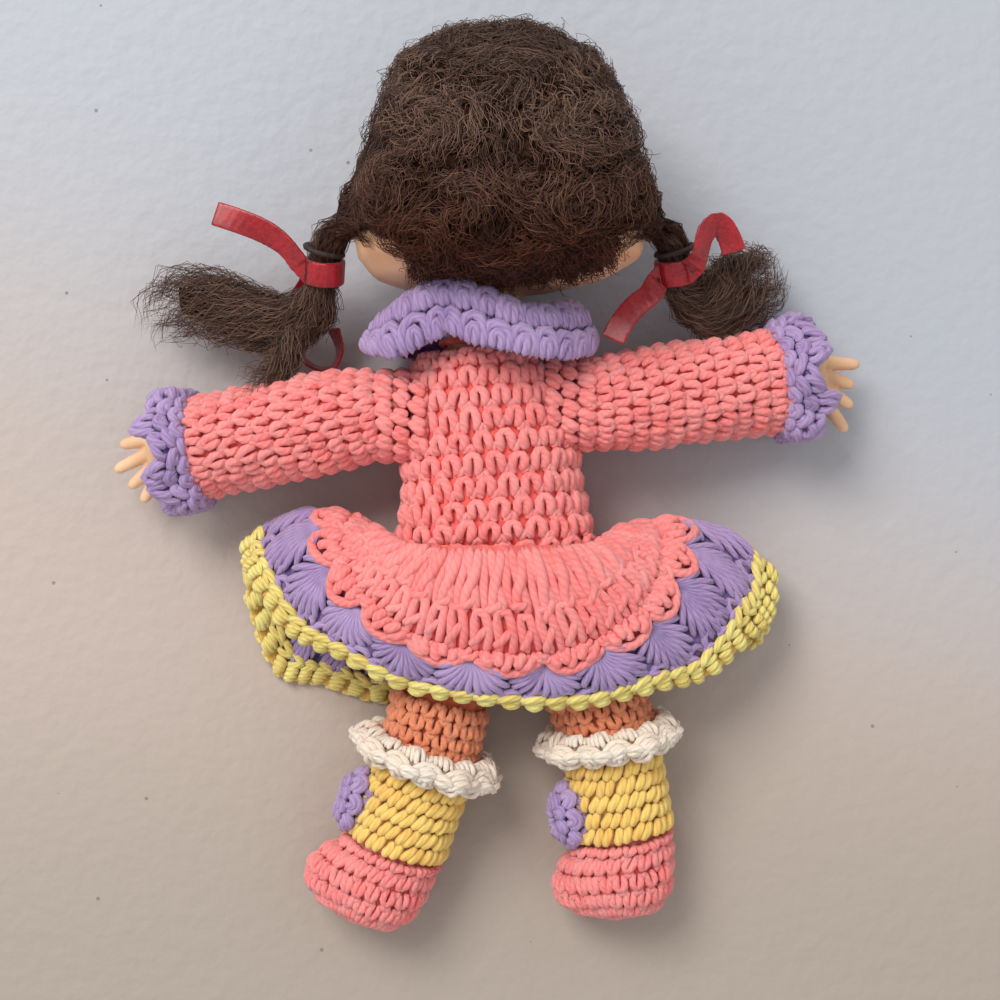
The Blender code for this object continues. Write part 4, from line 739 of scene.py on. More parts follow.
arms = {}
for side in ("left", "right"):
    start = Vector(joints[side + "_shoulder_sweep"]["pos_m"])
    way = Vector(joints[side + "_wrist_turn"]["axis"]).normalized()
    arms[side] = (start, way)
    body = side + "_arm"
    stations = capsule_stations(start, start + way * (ARM_LENGTH - 0.3 * MM), dome=6)
    guide = guide_object(side + "_sleeve_guide", wrapped([side + "_sleeve"], stations, Z, 48))
    underlayer(side + "_sleeve_lining", guide, 1.5 * MM, "coral", body,
               [side + "_sleeve", side + "_arm_stuffing"])
    crochet(side + "_sleeve_stitches", single, guide, "coral", body, 17, 13, -1.15, 0.8, 1.02, 0.03, 0.99, 1.0, 11,
            **PLAIN)

    across = way.cross(Z).normalized()
    turns = [across * math.cos(TAU * i / 48) - across.cross(way) * math.sin(TAU * i / 48) for i in range(48)]
    tip_rows = [[start + way * (ARM_LENGTH + (0.7 * k - 2.6) * MM) + turn * (11.7 - 0.24 * k) * MM
                 for turn in turns] for k in range(8)]
    tip_guide = guide_object(side + "_tip_guide", tip_rows)
    crochet(side + "_sleeve_tips", tip, tip_guide, "coral", body, 10, 1, -0.5, 0.9, 1.1, 0.0, 1.0, 1.2, 13)
    # The sleeve is sewn on: stitches go over the edge between the bodice and the arm and fill the crease there.
    out = Vector((SIDE_SIGN[side], 0, 0))
    side_hit = node_tree_of(["bodice"]).ray_cast(start + out * 60 * MM, -out)[0]
    seam_stations = [(start + out * ((side_hit - start).dot(out) + (2.2 * k - 3.0) * MM), out, 0.0)
                     for k in range(len(SEAM_LEAST))]
    seam_rows = wrapped([side + "_sleeve"], seam_stations, Y, 36)
    for row, station, least in zip(seam_rows, seam_stations, SEAM_LEAST):
        for i in range(36):
            ray = Y * math.cos(TAU * i / 36) + out.cross(Y) * math.sin(TAU * i / 36)
            row[i] = station[0] + ray * max(least * MM, min(SEAM_MOST * MM, (row[i] - station[0]).length))
    seam_guide = guide_object(side + "_seam_guide", seam_rows)
    crochet(side + "_shoulder_seam", whip, seam_guide, "coral", "torso", 15, 3, -0.6, 0.8, 1.1, -0.03, 1.03,
            0.9, 17)

# %% Legs
THIGH_LENGTH = {"left": 28.0 * MM, "right": 26.0 * MM}
THIGH_SPLAY = {"left": 14.0, "right": 17.0}
BOOT_SPLAY = {"left": 19.0, "right": 9.0}
THIGH_SLOPE, BOOT_SLOPE = 1.6, 5.0
BOOT_LENGTH, BOOT_RADIUS = 24.0 * MM, 11.5 * MM
SHOE_HEIGHT, TOE_REACH, HEEL_REACH = 19.5 * MM, 19.6 * MM, 11.0 * MM
TOE_TURN = {"left": 4.0, "right": 10.0}
# Name, pattern and yarn, and then what crochet takes in its order.
SHOE_WORK = (("_shoe_stitches", single, "coral", 22, 8, -1.1, 0.75, 0.88, 0.0, 0.985, 0.5, 37),
             ("_shoe_sole", single, "coral", 8, 1, -1.1, 0.75, 0.9, 0.93, 1.0, 0.3, 38),
             ("_boot_zigzag", tip, "golden", 12, 1, 0.6, 0.8, 1.0, -0.02, 0.2, 0.9, 39))


def leg_way(side, splay, slope):
    splay, slope = math.radians(splay), math.radians(slope)
    aside, down = SIDE_SIGN[side] * math.sin(splay), -math.cos(splay)
    return Vector((aside * math.cos(slope), down * math.cos(slope), -math.sin(slope)))


legs = {}
for side in ("left", "right"):
    hip = Vector(joints[side + "_hip_splay"]["pos_m"])
    way = leg_way(side, THIGH_SPLAY[side], THIGH_SLOPE)
    boot_way = leg_way(side, BOOT_SPLAY[side], BOOT_SLOPE)
    knee = hip + way * THIGH_LENGTH[side]
    ankle = knee + boot_way * BOOT_LENGTH
    flat = boot_way.cross(Z).normalized()
    toe = Matrix.Rotation(math.radians(TOE_TURN[side]), 3, boot_way) @ (flat if flat.x < 0 else -flat)
    legs[side] = (knee, boot_way, toe)
    body = side + "_leg"

    stations = capsule_stations(hip, knee, dome=5)
    thigh_guide = guide_object(side + "_thigh_guide", wrapped([side + "_thigh"], stations, Z, 48))
    underlayer(side + "_thigh_lining", thigh_guide, 1.4 * MM, "orange", body,
               [side + "_thigh", side + "_thigh_stuffing"])
    crochet(side + "_thigh_stitches", single, thigh_guide, "orange", body, 17, 6, -0.9, 0.7, 0.9, 0.58, 0.97,
            0.5, 23, **PLAIN)

    stations = capsule_stations(knee + boot_way * 0.5 * MM, ankle - boot_way * 0.2 * MM)
    boot_guide = guide_object(side + "_boot_guide", wrapped([side + "_boot"], stations, Z, 48))
    underlayer(side + "_boot_lining", boot_guide, 1.4 * MM, "yellow", body, [side + "_boot"])
    crochet(side + "_boot_stitches", slant, boot_guide, "golden", body, 15, 6, -1.0, 0.8, 1.02, 0.0, 1.0, 0.6, 31)

    reach = (TOE_REACH - HEEL_REACH) / 2
    stations = []
    for share in [i / 12 for i in range(13)]:
        middle = ankle + boot_way * (0.62 * SHOE_HEIGHT * share + 0.2 * MM) + toe * (reach * min(1.0, share * 2))
        stations.append((middle, boot_way, 0.0))
    stations += [(stations[-1][0], boot_way, 13.0 * i) for i in range(1, 7)]
    shoe_guide = guide_object(side + "_shoe_guide", wrapped([side + "_shoe"], stations, toe, 60))
    underlayer(side + "_shoe_lining", shoe_guide, 1.4 * MM, "coral", body,
               [side + "_shoe", side + "_foot_stuffing"])
    for name, pattern, yarn, *work in SHOE_WORK:
        more = PLAIN if name == "_shoe_stitches" else {}
        crochet(side + name, pattern, shoe_guide, yarn, body, *work, **more)

# %% [markdown]
# ## The skirt
# The skirt is one flared round: long coral posts from the waist, a row of shorter posts that ends in
# scallops, lilac fans, and a yellow edging. All of it hangs on one guide, so each part is a band of that guide.

# %% Skirt guide
WAIST_Y = -15.055 * MM
WAIST_HALF = (24.6 * MM, 20.6 * MM)
SKIRT_POWER = 2.2
HEM_MIDDLE_X, HEM_HALF_WIDTH = 4.2 * MM, 64.0 * MM
HEM_BACK, HEM_FRONT = 36.5 * MM, 39.5 * MM
BACK_HEIGHT, SIDE_HEIGHT = 33.5 * MM, 12.5 * MM
BACK_BULGE, SIDE_ARCH, SIDE_DROP = 4.5 * MM, 7.5 * MM, 3.0 * MM
SKIRT_LEAN, SKIRT_FRONT_LEAN = 4.0, -3.0
WAVE_COUNT, WAVE_SIZE, WAVE_PHASE = 11, 1.5 * MM, 0.8
SHEET_HALF = 1.6 * MM


def skirt_point(angle, share):
    """The middle of the skirt's cloth. Angle 90 degrees is the doll's back, and share runs from waist to hem."""
    c, s = math.cos(angle), math.sin(angle)
    middle = Vector((-math.tan(TORSO_LEAN) * WAIST_Y, WAIST_Y, WAIST_HALF[1] - 0.6 * MM))
    round_c = math.copysign(abs(c) ** (2 / SKIRT_POWER), c)
    round_s = math.copysign(abs(s) ** (2 / SKIRT_POWER), s)
    waist = middle + X * (round_c * (WAIST_HALF[0] + SHEET_HALF)) + Z * (round_s * (WAIST_HALF[1] + SHEET_HALF))
    back, front = max(0.0, s), max(0.0, -s)
    fall = min(1.0, front * 2.2)
    hem_y = WAIST_Y - HEM_BACK * back - HEM_FRONT * math.sqrt(front)
    hem_z = SIDE_HEIGHT + (BACK_HEIGHT - SIDE_HEIGHT) * back - (SIDE_HEIGHT - SHEET_HALF) * fall
    point = waist.lerp(Vector((HEM_MIDDLE_X + HEM_HALF_WIDTH * c, hem_y, hem_z)), share)
    arch = 4 * share * (1 - share)
    wave = WAVE_SIZE * max(0.0, share) ** 2 * math.cos(WAVE_COUNT * angle + WAVE_PHASE)
    side = abs(c) ** 3
    point.z += arch * BACK_BULGE * back + wave * back
    point.y += side * (arch * SIDE_ARCH - share * SIDE_DROP) + wave * abs(c)
    lean = SKIRT_LEAN + (SKIRT_FRONT_LEAN - SKIRT_LEAN) * fall
    point.y -= share * (point.x - middle.x) * math.tan(math.radians(lean))
    point.z = max(point.z, SHEET_HALF)
    return point


CORAL_END = 0.58


def skirt_share(angle, v):
    """The lilac band is wider at the sides than at the back, so the rows are drawn together there."""
    s = math.sin(angle)
    edge = 0.25 + 0.42 * s ** 1.3 if s > 0 else 0.25 + 0.27 * min(1.0, -2.0 * s)
    return v * edge / CORAL_END if v < CORAL_END else edge + (v - CORAL_END) * (1 - edge) / (1 - CORAL_END)


SKIRT_SIDES, SKIRT_ROWS = 180, 32
angles = [TAU * i / SKIRT_SIDES for i in range(SKIRT_SIDES)]
skirt_rows = [[skirt_point(angle, skirt_share(angle, j / SKIRT_ROWS)) for angle in angles]
              for j in range(SKIRT_ROWS + 1)]
skirt_guide = guide_object("skirt_guide", skirt_rows)
print("skirt", round(skirt_guide["length"], 4), "long,", round(skirt_guide["round"], 4), "round at the hem")


CLOTH = 0.7 * MM


def cloth_band(name, guide, start, end, yarn, body, replaced):
    """The cloth behind the stitches: a thin closed sheet cut from a guide between two shares of its length."""
    # It wears the yarn's darker lining material: painted shade behind the stitches.
    _, material, slot = YARNS[yarn]
    points, out, along = GRIDS[guide.name]
    sides = points.shape[1]
    rows, ways = [], []
    for share in np.linspace(start, end, 9):
        k = max(0, min(int(np.searchsorted(along, share, "right")) - 1, len(along) - 2))
        t = (share - along[k]) / (along[k + 1] - along[k])
        rows.append(points[k] * (1 - t) + points[k + 1] * t)
        ways.append(out[k] * (1 - t) + out[k + 1] * t)
    rows, ways = np.array(rows), np.array(ways)
    loop = np.concatenate([rows + ways * (CLOTH / 2), (rows - ways * (CLOTH / 2))[::-1]])
    loop[:, :, 2] = np.maximum(loop[:, :, 2], 0.1 * MM)
    faces = [quad(j, i, len(loop), sides) for j in range(len(loop)) for i in range(sides)]
    mesh = bpy.data.meshes.new(name)
    mesh.from_pydata(loop.reshape(-1, 3).tolist(), [], faces)
    work = bmesh.new()
    work.from_mesh(mesh)
    bmesh.ops.recalc_face_normals(work, faces=work.faces)
    area_found = sum(f.calc_area() for f in work.faces) / 2
    work.to_mesh(mesh)
    work.free()
    mesh.shade_smooth()
    mesh.materials.append(material)
    print(name, "cloth area", round(area_found * 1e4, 1), "square centimetres")
    return new_piece(name, mesh, body, replaced), area_found


# %% Skirt patterns
post = drawn('long_post', (
    ((-24, -2, 20, 80), (-26, 22, 100, 100), (-6, 50, 150, 110), (18, 76, 110, 100), (20, 106, 30, 80)),
    ((16, 0, 20, 80), (16, 24, 90, 100), (-2, 52, 60, 100), (-22, 80, 100, 100), (-16, 105, 30, 80)),
    ((44, 0, 10, 70), (48, 36, 70, 90), (50, 70, 80, 90), (40, 104, 20, 70)),
    ((-30, 72, 60, 60), (-4, 84, 150, 80), (30, 90, 120, 80), (44, 98, 50, 60))))
short = drawn('short_post', (
    ((-12, 104, 0, 70), (-30, 80, 70, 90), (-36, 40, 110, 100), (-22, 2, 120, 110), (4, -12, 90, 100),
     (24, 6, 120, 110), (26, 44, 100, 100), (16, 85, 60, 90), (10, 104, 0, 70)),
    ((-40, 30, 30, 60), (-10, 42, 160, 85), (28, 62, 130, 85), (42, 72, 30, 60))))
scallop = drawn('scallop', (
    ((-52, 2, 40, 80), (-40, 48, 100, 100), (-22, 84, 130, 110), (2, 100, 130, 110), (24, 82, 130, 110),
     (42, 44, 100, 100), (52, 0, 40, 80)),
    ((-33, -5, 80, 80), (-29, 34, 170, 115), (-17, 64, 140, 100)),
    ((0, -10, 80, 80), (2, 42, 190, 115), (2, 80, 150, 100)),
    ((33, -5, 80, 80), (30, 34, 170, 115), (19, 62, 140, 100)),
    ((-17, -20, 100, 80), (-14, 16, 190, 115), (-8, 46, 170, 100)),
    ((17, -20, 100, 80), (15, 16, 190, 115), (11, 46, 170, 100))))
FAN_STRANDS, FAN_OPENING = 11, math.radians(84)
fan_lines = []
for k in range(FAN_STRANDS):
    spread = (k - (FAN_STRANDS - 1) / 2) / ((FAN_STRANDS - 1) / 2)
    turn = spread * FAN_OPENING
    s, c = math.sin(turn), max(0.0, math.cos(turn)) ** 0.7
    fan_lines.append([(s * 0.03, -0.06, 0.3, 0.7), (s * 0.18, 0.02 + 0.26 * c, 1.5, 1.0),
                      (s * 0.40, 0.10 + 0.58 * c, 1.8, 1.15), (s * 0.57, 0.18 + 0.84 * c, 0.6, 0.8)])
fan = line_object("fan", fan_lines)
curl = drawn('curl', (
    ((-42, 60, 0, 70), (-36, 20, 100, 100), (-5, 5, 150, 100), (26, 30, 120, 100), (30, 75, 60, 90),
     (2, 95, 20, 60)),
    ((-10, 95, 40, 70), (10, 55, 140, 100), (40, 45, 140, 100), (60, 75, 50, 60))))
nub = drawn('edging_stitch', (
    ((-70, 2, 70, 80), (-25, -10, 140, 110), (25, 5, 150, 110), (62, 32, 90, 70)),
    ((-62, 36, 60, 70), (-20, 34, 130, 100), (28, 20, 130, 100), (64, -2, 80, 70)),
    ((-42, 62, 40, 80), (0, 58, 150, 115), (42, 64, 40, 80)),
    ((-40, 84, 30, 80), (0, 82, 130, 115), (40, 86, 30, 80)),
    ((-34, 104, 0, 70), (0, 104, 80, 100), (34, 105, 0, 70))))

crown_chain = drawn('crown_chain', (
    ((-66, 30, 50, 80), (-30, 5, 110, 100), (15, 0, 130, 110), (55, 25, 120, 100), (70, 45, 50, 70)),
    ((-66, 90, 50, 80), (-25, 100, 110, 100), (20, 90, 130, 110), (55, 60, 120, 100), (70, 45, 50, 70))))
frill_bump = drawn('frill_bump', (
    ((-46, -30, 10, 80), (-36, 10, 100, 100), (-10, 34, 130, 110), (20, 30, 130, 110), (40, 5, 100, 100),
     (46, -35, 10, 80)),
    ((-20, -45, 20, 80), (-6, -10, 110, 100), (16, 0, 110, 100), (26, -40, 30, 80))), lowest=-0.5)
print("skirt patterns drawn")

# %% Skirt stitches
# Name, pattern, yarn, columns, rows, depth, lift, radius (mm), start, end, unevenness (mm), seed and anything more.
SKIRT_WORK = (
    ("posts", post, "coral", 46, 1, 0.3, 1.0, 1.24, -0.01, 0.29, 1.0, 41, {"Shift": 0.2, "Rings": 9}),
    ("short_posts", short, "coral", 58, 1, 0.4, 0.9, 1.15, 0.27, 0.47, 1.0, 43, {}),
    ("scallops", scallop, "coral", 22, 1, 0.6, 0.9, 1.12, 0.45, 0.60, 1.0, 47, {"Sides": 5}),
    ("knobs", frill_bump, "coral", 60, 1, 0.4, 0.9, 1.0, 0.42, 0.50, 0.9, 49, {"Sides": 5}),
    ("fans", fan, "lilac", 22, 1, 0.0, 1.0, 0.86, 0.535, 0.90, 0.9, 53, {"Shift": 0.5, "Sides": 5}),
    ("curls", curl, "lilac", 62, 1, -0.2, 0.8, 0.85, 0.80, 0.93, 0.6, 59, {}),
    ("nubs", nub, "yellow", 74, 1, 0.0, 1.0, 0.95, 0.89, 1.0, 0.5, 61, {"Sides": 5, "Rings": 8}),
    ("inner_nubs", nub, "yellow", 64, 1, -0.6, -0.9, 0.95, 0.87, 0.98, 0.6, 65, {"Sides": 5, "Rings": 8}),
    ("inner_fans", fan, "lilac", 24, 1, -0.7, -0.9, 0.8, 0.52, 0.92, 0.5, 54,
     {"Shift": 0.5, "Rings": 8, "Sides": 5}),
    ("inner_posts", short, "coral", 48, 2, -0.5, -0.7, 0.9, 0.06, 0.53, 0.5, 44, {}))
SKIRT_BANDS = (("flounce", 0.0, 0.565, "coral"), ("band", 0.57, 0.885, "lilac"), ("edging", 0.885, 0.998, "yellow"))
# The longest strip that a sheet of the skirt is worked as, and the least width of a sheet (metres).
SKIRT_STRIP, LEAST_WIDTH = 0.22, 0.0101
made = {"coral": [], "lilac": [], "yellow": []}
for name, pattern, yarn, *work, more in SKIRT_WORK:
    made[yarn].append(crochet("skirt_" + name, pattern, skirt_guide, yarn, "torso", *work, **more))
for band, start, end, yarn in SKIRT_BANDS:
    piece, area = cloth_band("skirt_" + band + "_cloth", skirt_guide, start, end, yarn, "torso", ["skirt_" + band])
    flat = (max(LEAST_WIDTH, area / SKIRT_STRIP), min(SKIRT_STRIP, area / LEAST_WIDTH))

# %% [markdown]
# ## Frills: collar, cuffs and sock ruffles
# A frill is worked with too many stitches for its length, so it waves. The collar is a chain on a standing
# edge with two rows of loops that hang over the shoulders. The cuffs have small bumps on both faces and fat
# puffs at the rim. The sock ruffle is a ring of overlapping lobes.

# %% Collar
puff = drawn('puff', (
    ((-30, 0, 30, 80), (-48, 45, 100, 100), (-30, 95, 90, 110), (5, 112, 20, 110), (38, 90, -70, 110),
     (46, 42, -100, 100), (25, -5, -30, 80)),
    ((-5, 0, 90, 80), (-10, 50, 130, 100), (12, 85, 100, 110), (34, 60, 90, 100), (25, 5, 80, 80)),
    ((-25, 0, -80, 80), (-30, 50, -120, 100), (-8, 85, -100, 110), (14, 55, -120, 100), (5, 0, -80, 80))))


COLLAR_MIDDLE = Vector((-2.5, 0.0, 22.5)) * MM
COLLAR_INNER, COLLAR_SHOULDER = 12.3 * MM, 22.5 * MM
COLLAR_BASE, COLLAR_FOLD = 33.5 * MM, 0.4
# Angle (90 is the doll's back), the top edge, the lower edge and how far the lower edge stands out (mm).
COLLAR_EDGES = ((0, 36.5, 31.5, 24.5), (19, 40.0, 28.0, 26.0), (46, 38.2, 26.0, 26.5), (65, 38.0, 27.0, 26.0),
                (80, 40.2, 28.0, 25.5), (95, 43.0, 29.5, 24.0), (108, 44.8, 32.0, 21.5), (118, 44.4, 30.5, 22.0),
                (134, 41.5, 26.6, 26.0), (152, 38.4, 27.6, 26.8), (180, 34.8, 30.5, 26.0), (215, 40.0, 30.0, 25.0),
                (250, 36.0, 28.0, 24.5), (290, 40.0, 30.0, 24.5), (325, 36.0, 28.5, 25.0), (360, 36.5, 31.5, 24.5))


def collar_edge(angle):
    degrees = math.degrees(angle) % 360
    at = [row[0] for row in COLLAR_EDGES]
    return [float(np.interp(degrees, at, [row[k] for row in COLLAR_EDGES])) * MM for k in (1, 2, 3)]


def collar_point(angle, share):
    """From the neck out under the top edge, round it, and down over the shoulders."""
    top, low, reach = collar_edge(angle)
    if share < COLLAR_FOLD:
        part = share / COLLAR_FOLD
        radius = COLLAR_INNER + (COLLAR_SHOULDER - COLLAR_INNER) * part
        y = COLLAR_BASE + (top - COLLAR_BASE) * part ** 1.5
    else:
        part = (share - COLLAR_FOLD) / 0.6
        radius = COLLAR_SHOULDER + (reach - COLLAR_SHOULDER) * math.sin(math.pi / 2 * min(1.0, part * 1.3))
        y = top + (low - top) * part ** 1.1
    point = COLLAR_MIDDLE + (X * math.cos(angle) + Z * math.sin(angle)) * radius + Y * y
    point.z = max(point.z, 1.6 * MM)
    return point


collar_loop = drawn('collar_loop', (
    ((-42, 95, 20, 80), (-50, 55, 100, 100), (-36, 15, 130, 110), (0, 2, 120, 110), (34, 18, 130, 110),
     (44, 60, 100, 100), (34, 98, 20, 80)),
    ((-14, 100, 50, 80), (-20, 55, 140, 100), (-4, 30, 160, 100), (14, 55, 140, 100), (10, 100, 50, 80))))
collar_rows = [[collar_point(TAU * i / 144, j / 30) for i in range(144)] for j in range(31)]
collar_guide = guide_object("collar_guide", collar_rows)
COLLAR_WORK = (("loops", collar_loop, 31, 2, 0.1, 0.95, 1.2, 0.52, 0.99, 0.6, 71),
               ("chain", crown_chain, 27, 1, 0.1, 0.9, 1.2, 0.36, 0.54, 0.5, 73),
               ("inside", frill_bump, 30, 2, 0.1, 0.8, 1.1, 0.05, 0.38, 0.5, 75))
pieces = [crochet("collar_" + name, pattern, collar_guide, "lilac", "torso", *work)
          for name, pattern, *work in COLLAR_WORK]
cloth, area = cloth_band("collar_cloth", collar_guide, 0.0, 0.97, "lilac", "torso", ["collar"])

# %% Cuffs
CUFF_FIRST, CUFF_INNER, CUFF_TURN = 43.4 * MM, 8.5 * MM, 12.3 * MM
CUFF_FOLD, CUFF_WAVES = 0.35, 6
# The longest strip that a cuff is worked as, and the least width of a cuff (metres).
CUFF_STRIP, CUFF_WIDTH = 0.06, 0.0125
CUFF_WORK = (("upper", frill_bump, 20, 3, 0.2, 0.85, 1.05, 0.02, 0.66, 0.5, 71),
             ("lower", frill_bump, 20, 3, -0.2, -0.85, 1.05, 0.02, 0.66, 0.5, 71),
             ("rim", puff, 15, 1, 0.0, 1.0, 1.05, 0.64, 1.0, 0.5, 73))


def cuff_point(side, angle, share):
    """From inside the wrist out to the turn, and then up and away in waves."""
    start, way = arms[side]
    across, up = square_to(way)
    if share < CUFF_FOLD:
        along = CUFF_FIRST - 1.2 * share / CUFF_FOLD * MM
        radius = CUFF_INNER + (CUFF_TURN - CUFF_INNER) * share / CUFF_FOLD
    else:
        part, wave = (share - CUFF_FOLD) / 0.65, math.cos(CUFF_WAVES * angle)
        along = CUFF_FIRST + (5.0 * part - 1.2 + 2.2 * wave * part) * MM
        radius = CUFF_TURN + (1.6 * math.sin(math.pi / 2 * part) - 0.9 * wave * part) * MM
    return start + way * along + (across * math.cos(angle) - up * math.sin(angle)) * radius


for side in ("left", "right"):
    cuff, body = side + "_cuff", side + "_arm"
    rows = [[cuff_point(side, TAU * i / 96, j / 10) for i in range(96)] for j in range(14)]
    cuff_guide = guide_object(cuff + "_guide", rows)
    pieces = [crochet(cuff + "_" + name, pattern, cuff_guide, "lilac", body, *work)
              for name, pattern, *work in CUFF_WORK]
    cloth, area = cloth_band(cuff + "_cloth", cuff_guide, 0.0, 0.85, "lilac", body, [cuff])
    flat = (max(area / CUFF_STRIP, CUFF_WIDTH), min(CUFF_STRIP, area / CUFF_WIDTH))

# %% Sock ruffles
lobe = drawn('ruffle_lobe', (
    ((-50, -50, 30, 70), (-50, 10, 90, 100), (-28, 46, 120, 110), (0, 58, 130, 110), (28, 46, 120, 110),
     (50, 10, 90, 100), (50, -50, 30, 70)),
    ((-34, -50, 70, 70), (-34, 6, 130, 100), (-16, 34, 160, 110), (6, 38, 170, 110), (26, 20, 150, 100),
     (34, -50, 80, 70)),
    ((-18, -50, 90, 70), (-18, 0, 160, 100), (0, 18, 190, 110), (16, 0, 170, 100), (18, -50, 100, 70)),
    ((-3, -55, 100, 80), (-2, -20, 180, 100), (2, 10, 190, 70))), lowest=-0.5)
rope = drawn('ruffle_rope', (
    ((-62, -14, 60, 80), (-20, 16, 130, 110), (30, 14, 130, 110), (66, -16, 60, 80)),
    ((-55, 20, 20, 80), (-20, -20, 90, 110), (20, -20, 90, 110), (55, 20, 20, 80))), lowest=-0.5)
RUFFLE_HALF, RUFFLE_WIDTH = 3.3 * MM, {"left": 5.2 * MM, "right": 4.0 * MM}
for side in ("left", "right"):
    knee, boot_way, toe = legs[side]
    across, up = square_to(boot_way)
    grid = []
    for j in range(20):
        turn = TAU * j / 20
        row = []
        for i in range(90):
            angle = TAU * i / 90
            reach = (RUFFLE_WIDTH[side] + 0.8 * MM * math.cos(9 * angle)) / 2
            out = across * math.cos(angle) - up * math.sin(angle)
            middle = knee + boot_way * 0.6 * MM + out * (BOOT_RADIUS + 0.6 * MM + reach)
            row.append(middle - out * (reach * math.cos(turn)) + boot_way * (RUFFLE_HALF * math.sin(turn)))
        grid.append(row)
    grid = grid[5:] + grid[:5]
    ruffle_guide = guide_object(side + "_ruffle_guide", grid, wrap_rows=True)
    points, ways, _ = GRIDS[side + "_ruffle_guide"]
    if ((points[0, 0] - points[10, 0]) * ways[0, 0]).sum() < 0:
        ruffle_guide = guide_object(side + "_ruffle_guide_b", [row[::-1] for row in grid], wrap_rows=True)
    print("ruffle faces out", ruffle_guide.name)
    body = side + "_leg"
    crochet(side + "_ruffle_lobes", lobe, ruffle_guide, "white", body, 14, 3, -0.9, 0.8, 0.74, 0.0, 1.0, 0.6,
            81, Round_Rows=True)
    crochet(side + "_ruffle_rope", rope, ruffle_guide, "white", body, 26, 1, -0.3, 0.8, 0.9, 0.14, 0.30, 0.5,
            83, Round_Rows=True)
    underlayer(side + "_ruffle_lining", ruffle_guide, 1.2 * MM, "white", body, [side + "_sock_ruffle"])

# %% Bows on the boots
BOW_ROWS = ((-0.30, 0.55), (0.0, 0.86), (0.35, 1.0), (0.70, 0.86), (0.94, 0.5))
# How far down the boot each bow sits, and how many degrees it is turned up from the toe.
BOW_PLACE = {"left": (0.66, 12.0), "right": (0.70, 28.0)}
BOW_THICKNESS, BOW_HALF_WIDTH, BOW_HALF_LENGTH = 5.0 * MM, 4.4 * MM, 7.0 * MM
braid = drawn('bow_braid', (
    ((-50, 30, 30, 80), (-30, -20, 110, 100), (0, -42, 120, 110), (30, -20, 110, 100), (50, 30, 30, 80)),
    ((-34, 45, 50, 80), (-16, 2, 140, 100), (0, -15, 150, 110), (16, 2, 140, 100), (34, 45, 50, 80))), lowest=-0.5)
for side in ("left", "right"):
    knee, boot_way, toe = legs[side]
    down, turn = BOW_PLACE[side]
    toe = Matrix.Rotation(math.radians(turn if boot_way.cross(toe).z > 0 else -turn), 3, boot_way) @ toe
    side_way = boot_way.cross(toe).normalized()
    middle = knee + boot_way * down * BOOT_LENGTH + toe * (BOOT_RADIUS - 0.4 * MM)
    grid = [[middle + toe * (BOW_THICKNESS * high) + (side_way * (BOW_HALF_WIDTH * math.cos(TAU * i / 40)) +
                                                      boot_way * (BOW_HALF_LENGTH * math.sin(TAU * i / 40))) * size
             for i in range(40)] for high, size in BOW_ROWS + ((1.02, 0.2),)]
    sense = side_way.cross(boot_way).dot(toe)
    bow_guide = guide_object(side + "_bow_guide", grid if sense > 0 else [row[::-1] for row in grid])
    body = side + "_leg"
    crochet(side + "_bow_stitches", braid, bow_guide, "lilac", body, 8, 3, -0.3, 0.8, 1.05, 0.05, 0.97, 0.4, 91)
    underlayer(side + "_bow_lining", bow_guide, 0.9 * MM, "lilac", body, [side + "_boot_bow"])

# %% [markdown]
# ## Head, hands and hair base
# Smooth vinyl needs a finer mesh than the CAD has, so the head and hands are copied, remeshed and smoothed.

# %% Vinyl
def vinyl_material():
    material, tree, shader = new_material("skin_vinyl")
    place = tree.object_place()
    patch = tree.cloud(place, 60.0)
    colour = tree.mix(tree.ramp(patch, 0.3, 0.7), srgb(226, 178, 136), srgb(240, 198, 158))
    tree.feed(shader.inputs["Base Color"], colour)
    settle(shader, Roughness=0.42, Subsurface_Weight=0.12, Subsurface_Radius=(0.004, 0.002, 0.001),
           Subsurface_Scale=0.5)
    fine = tree.cloud(place, 900.0)
    bump(tree, shader, fine, 0.05 * MM, 0.4)
    return material


VINYL = vinyl_material()
FACE_MIDDLE_X, EYE_Y, MOUTH_Y = 1.8, 69.0, 55.2


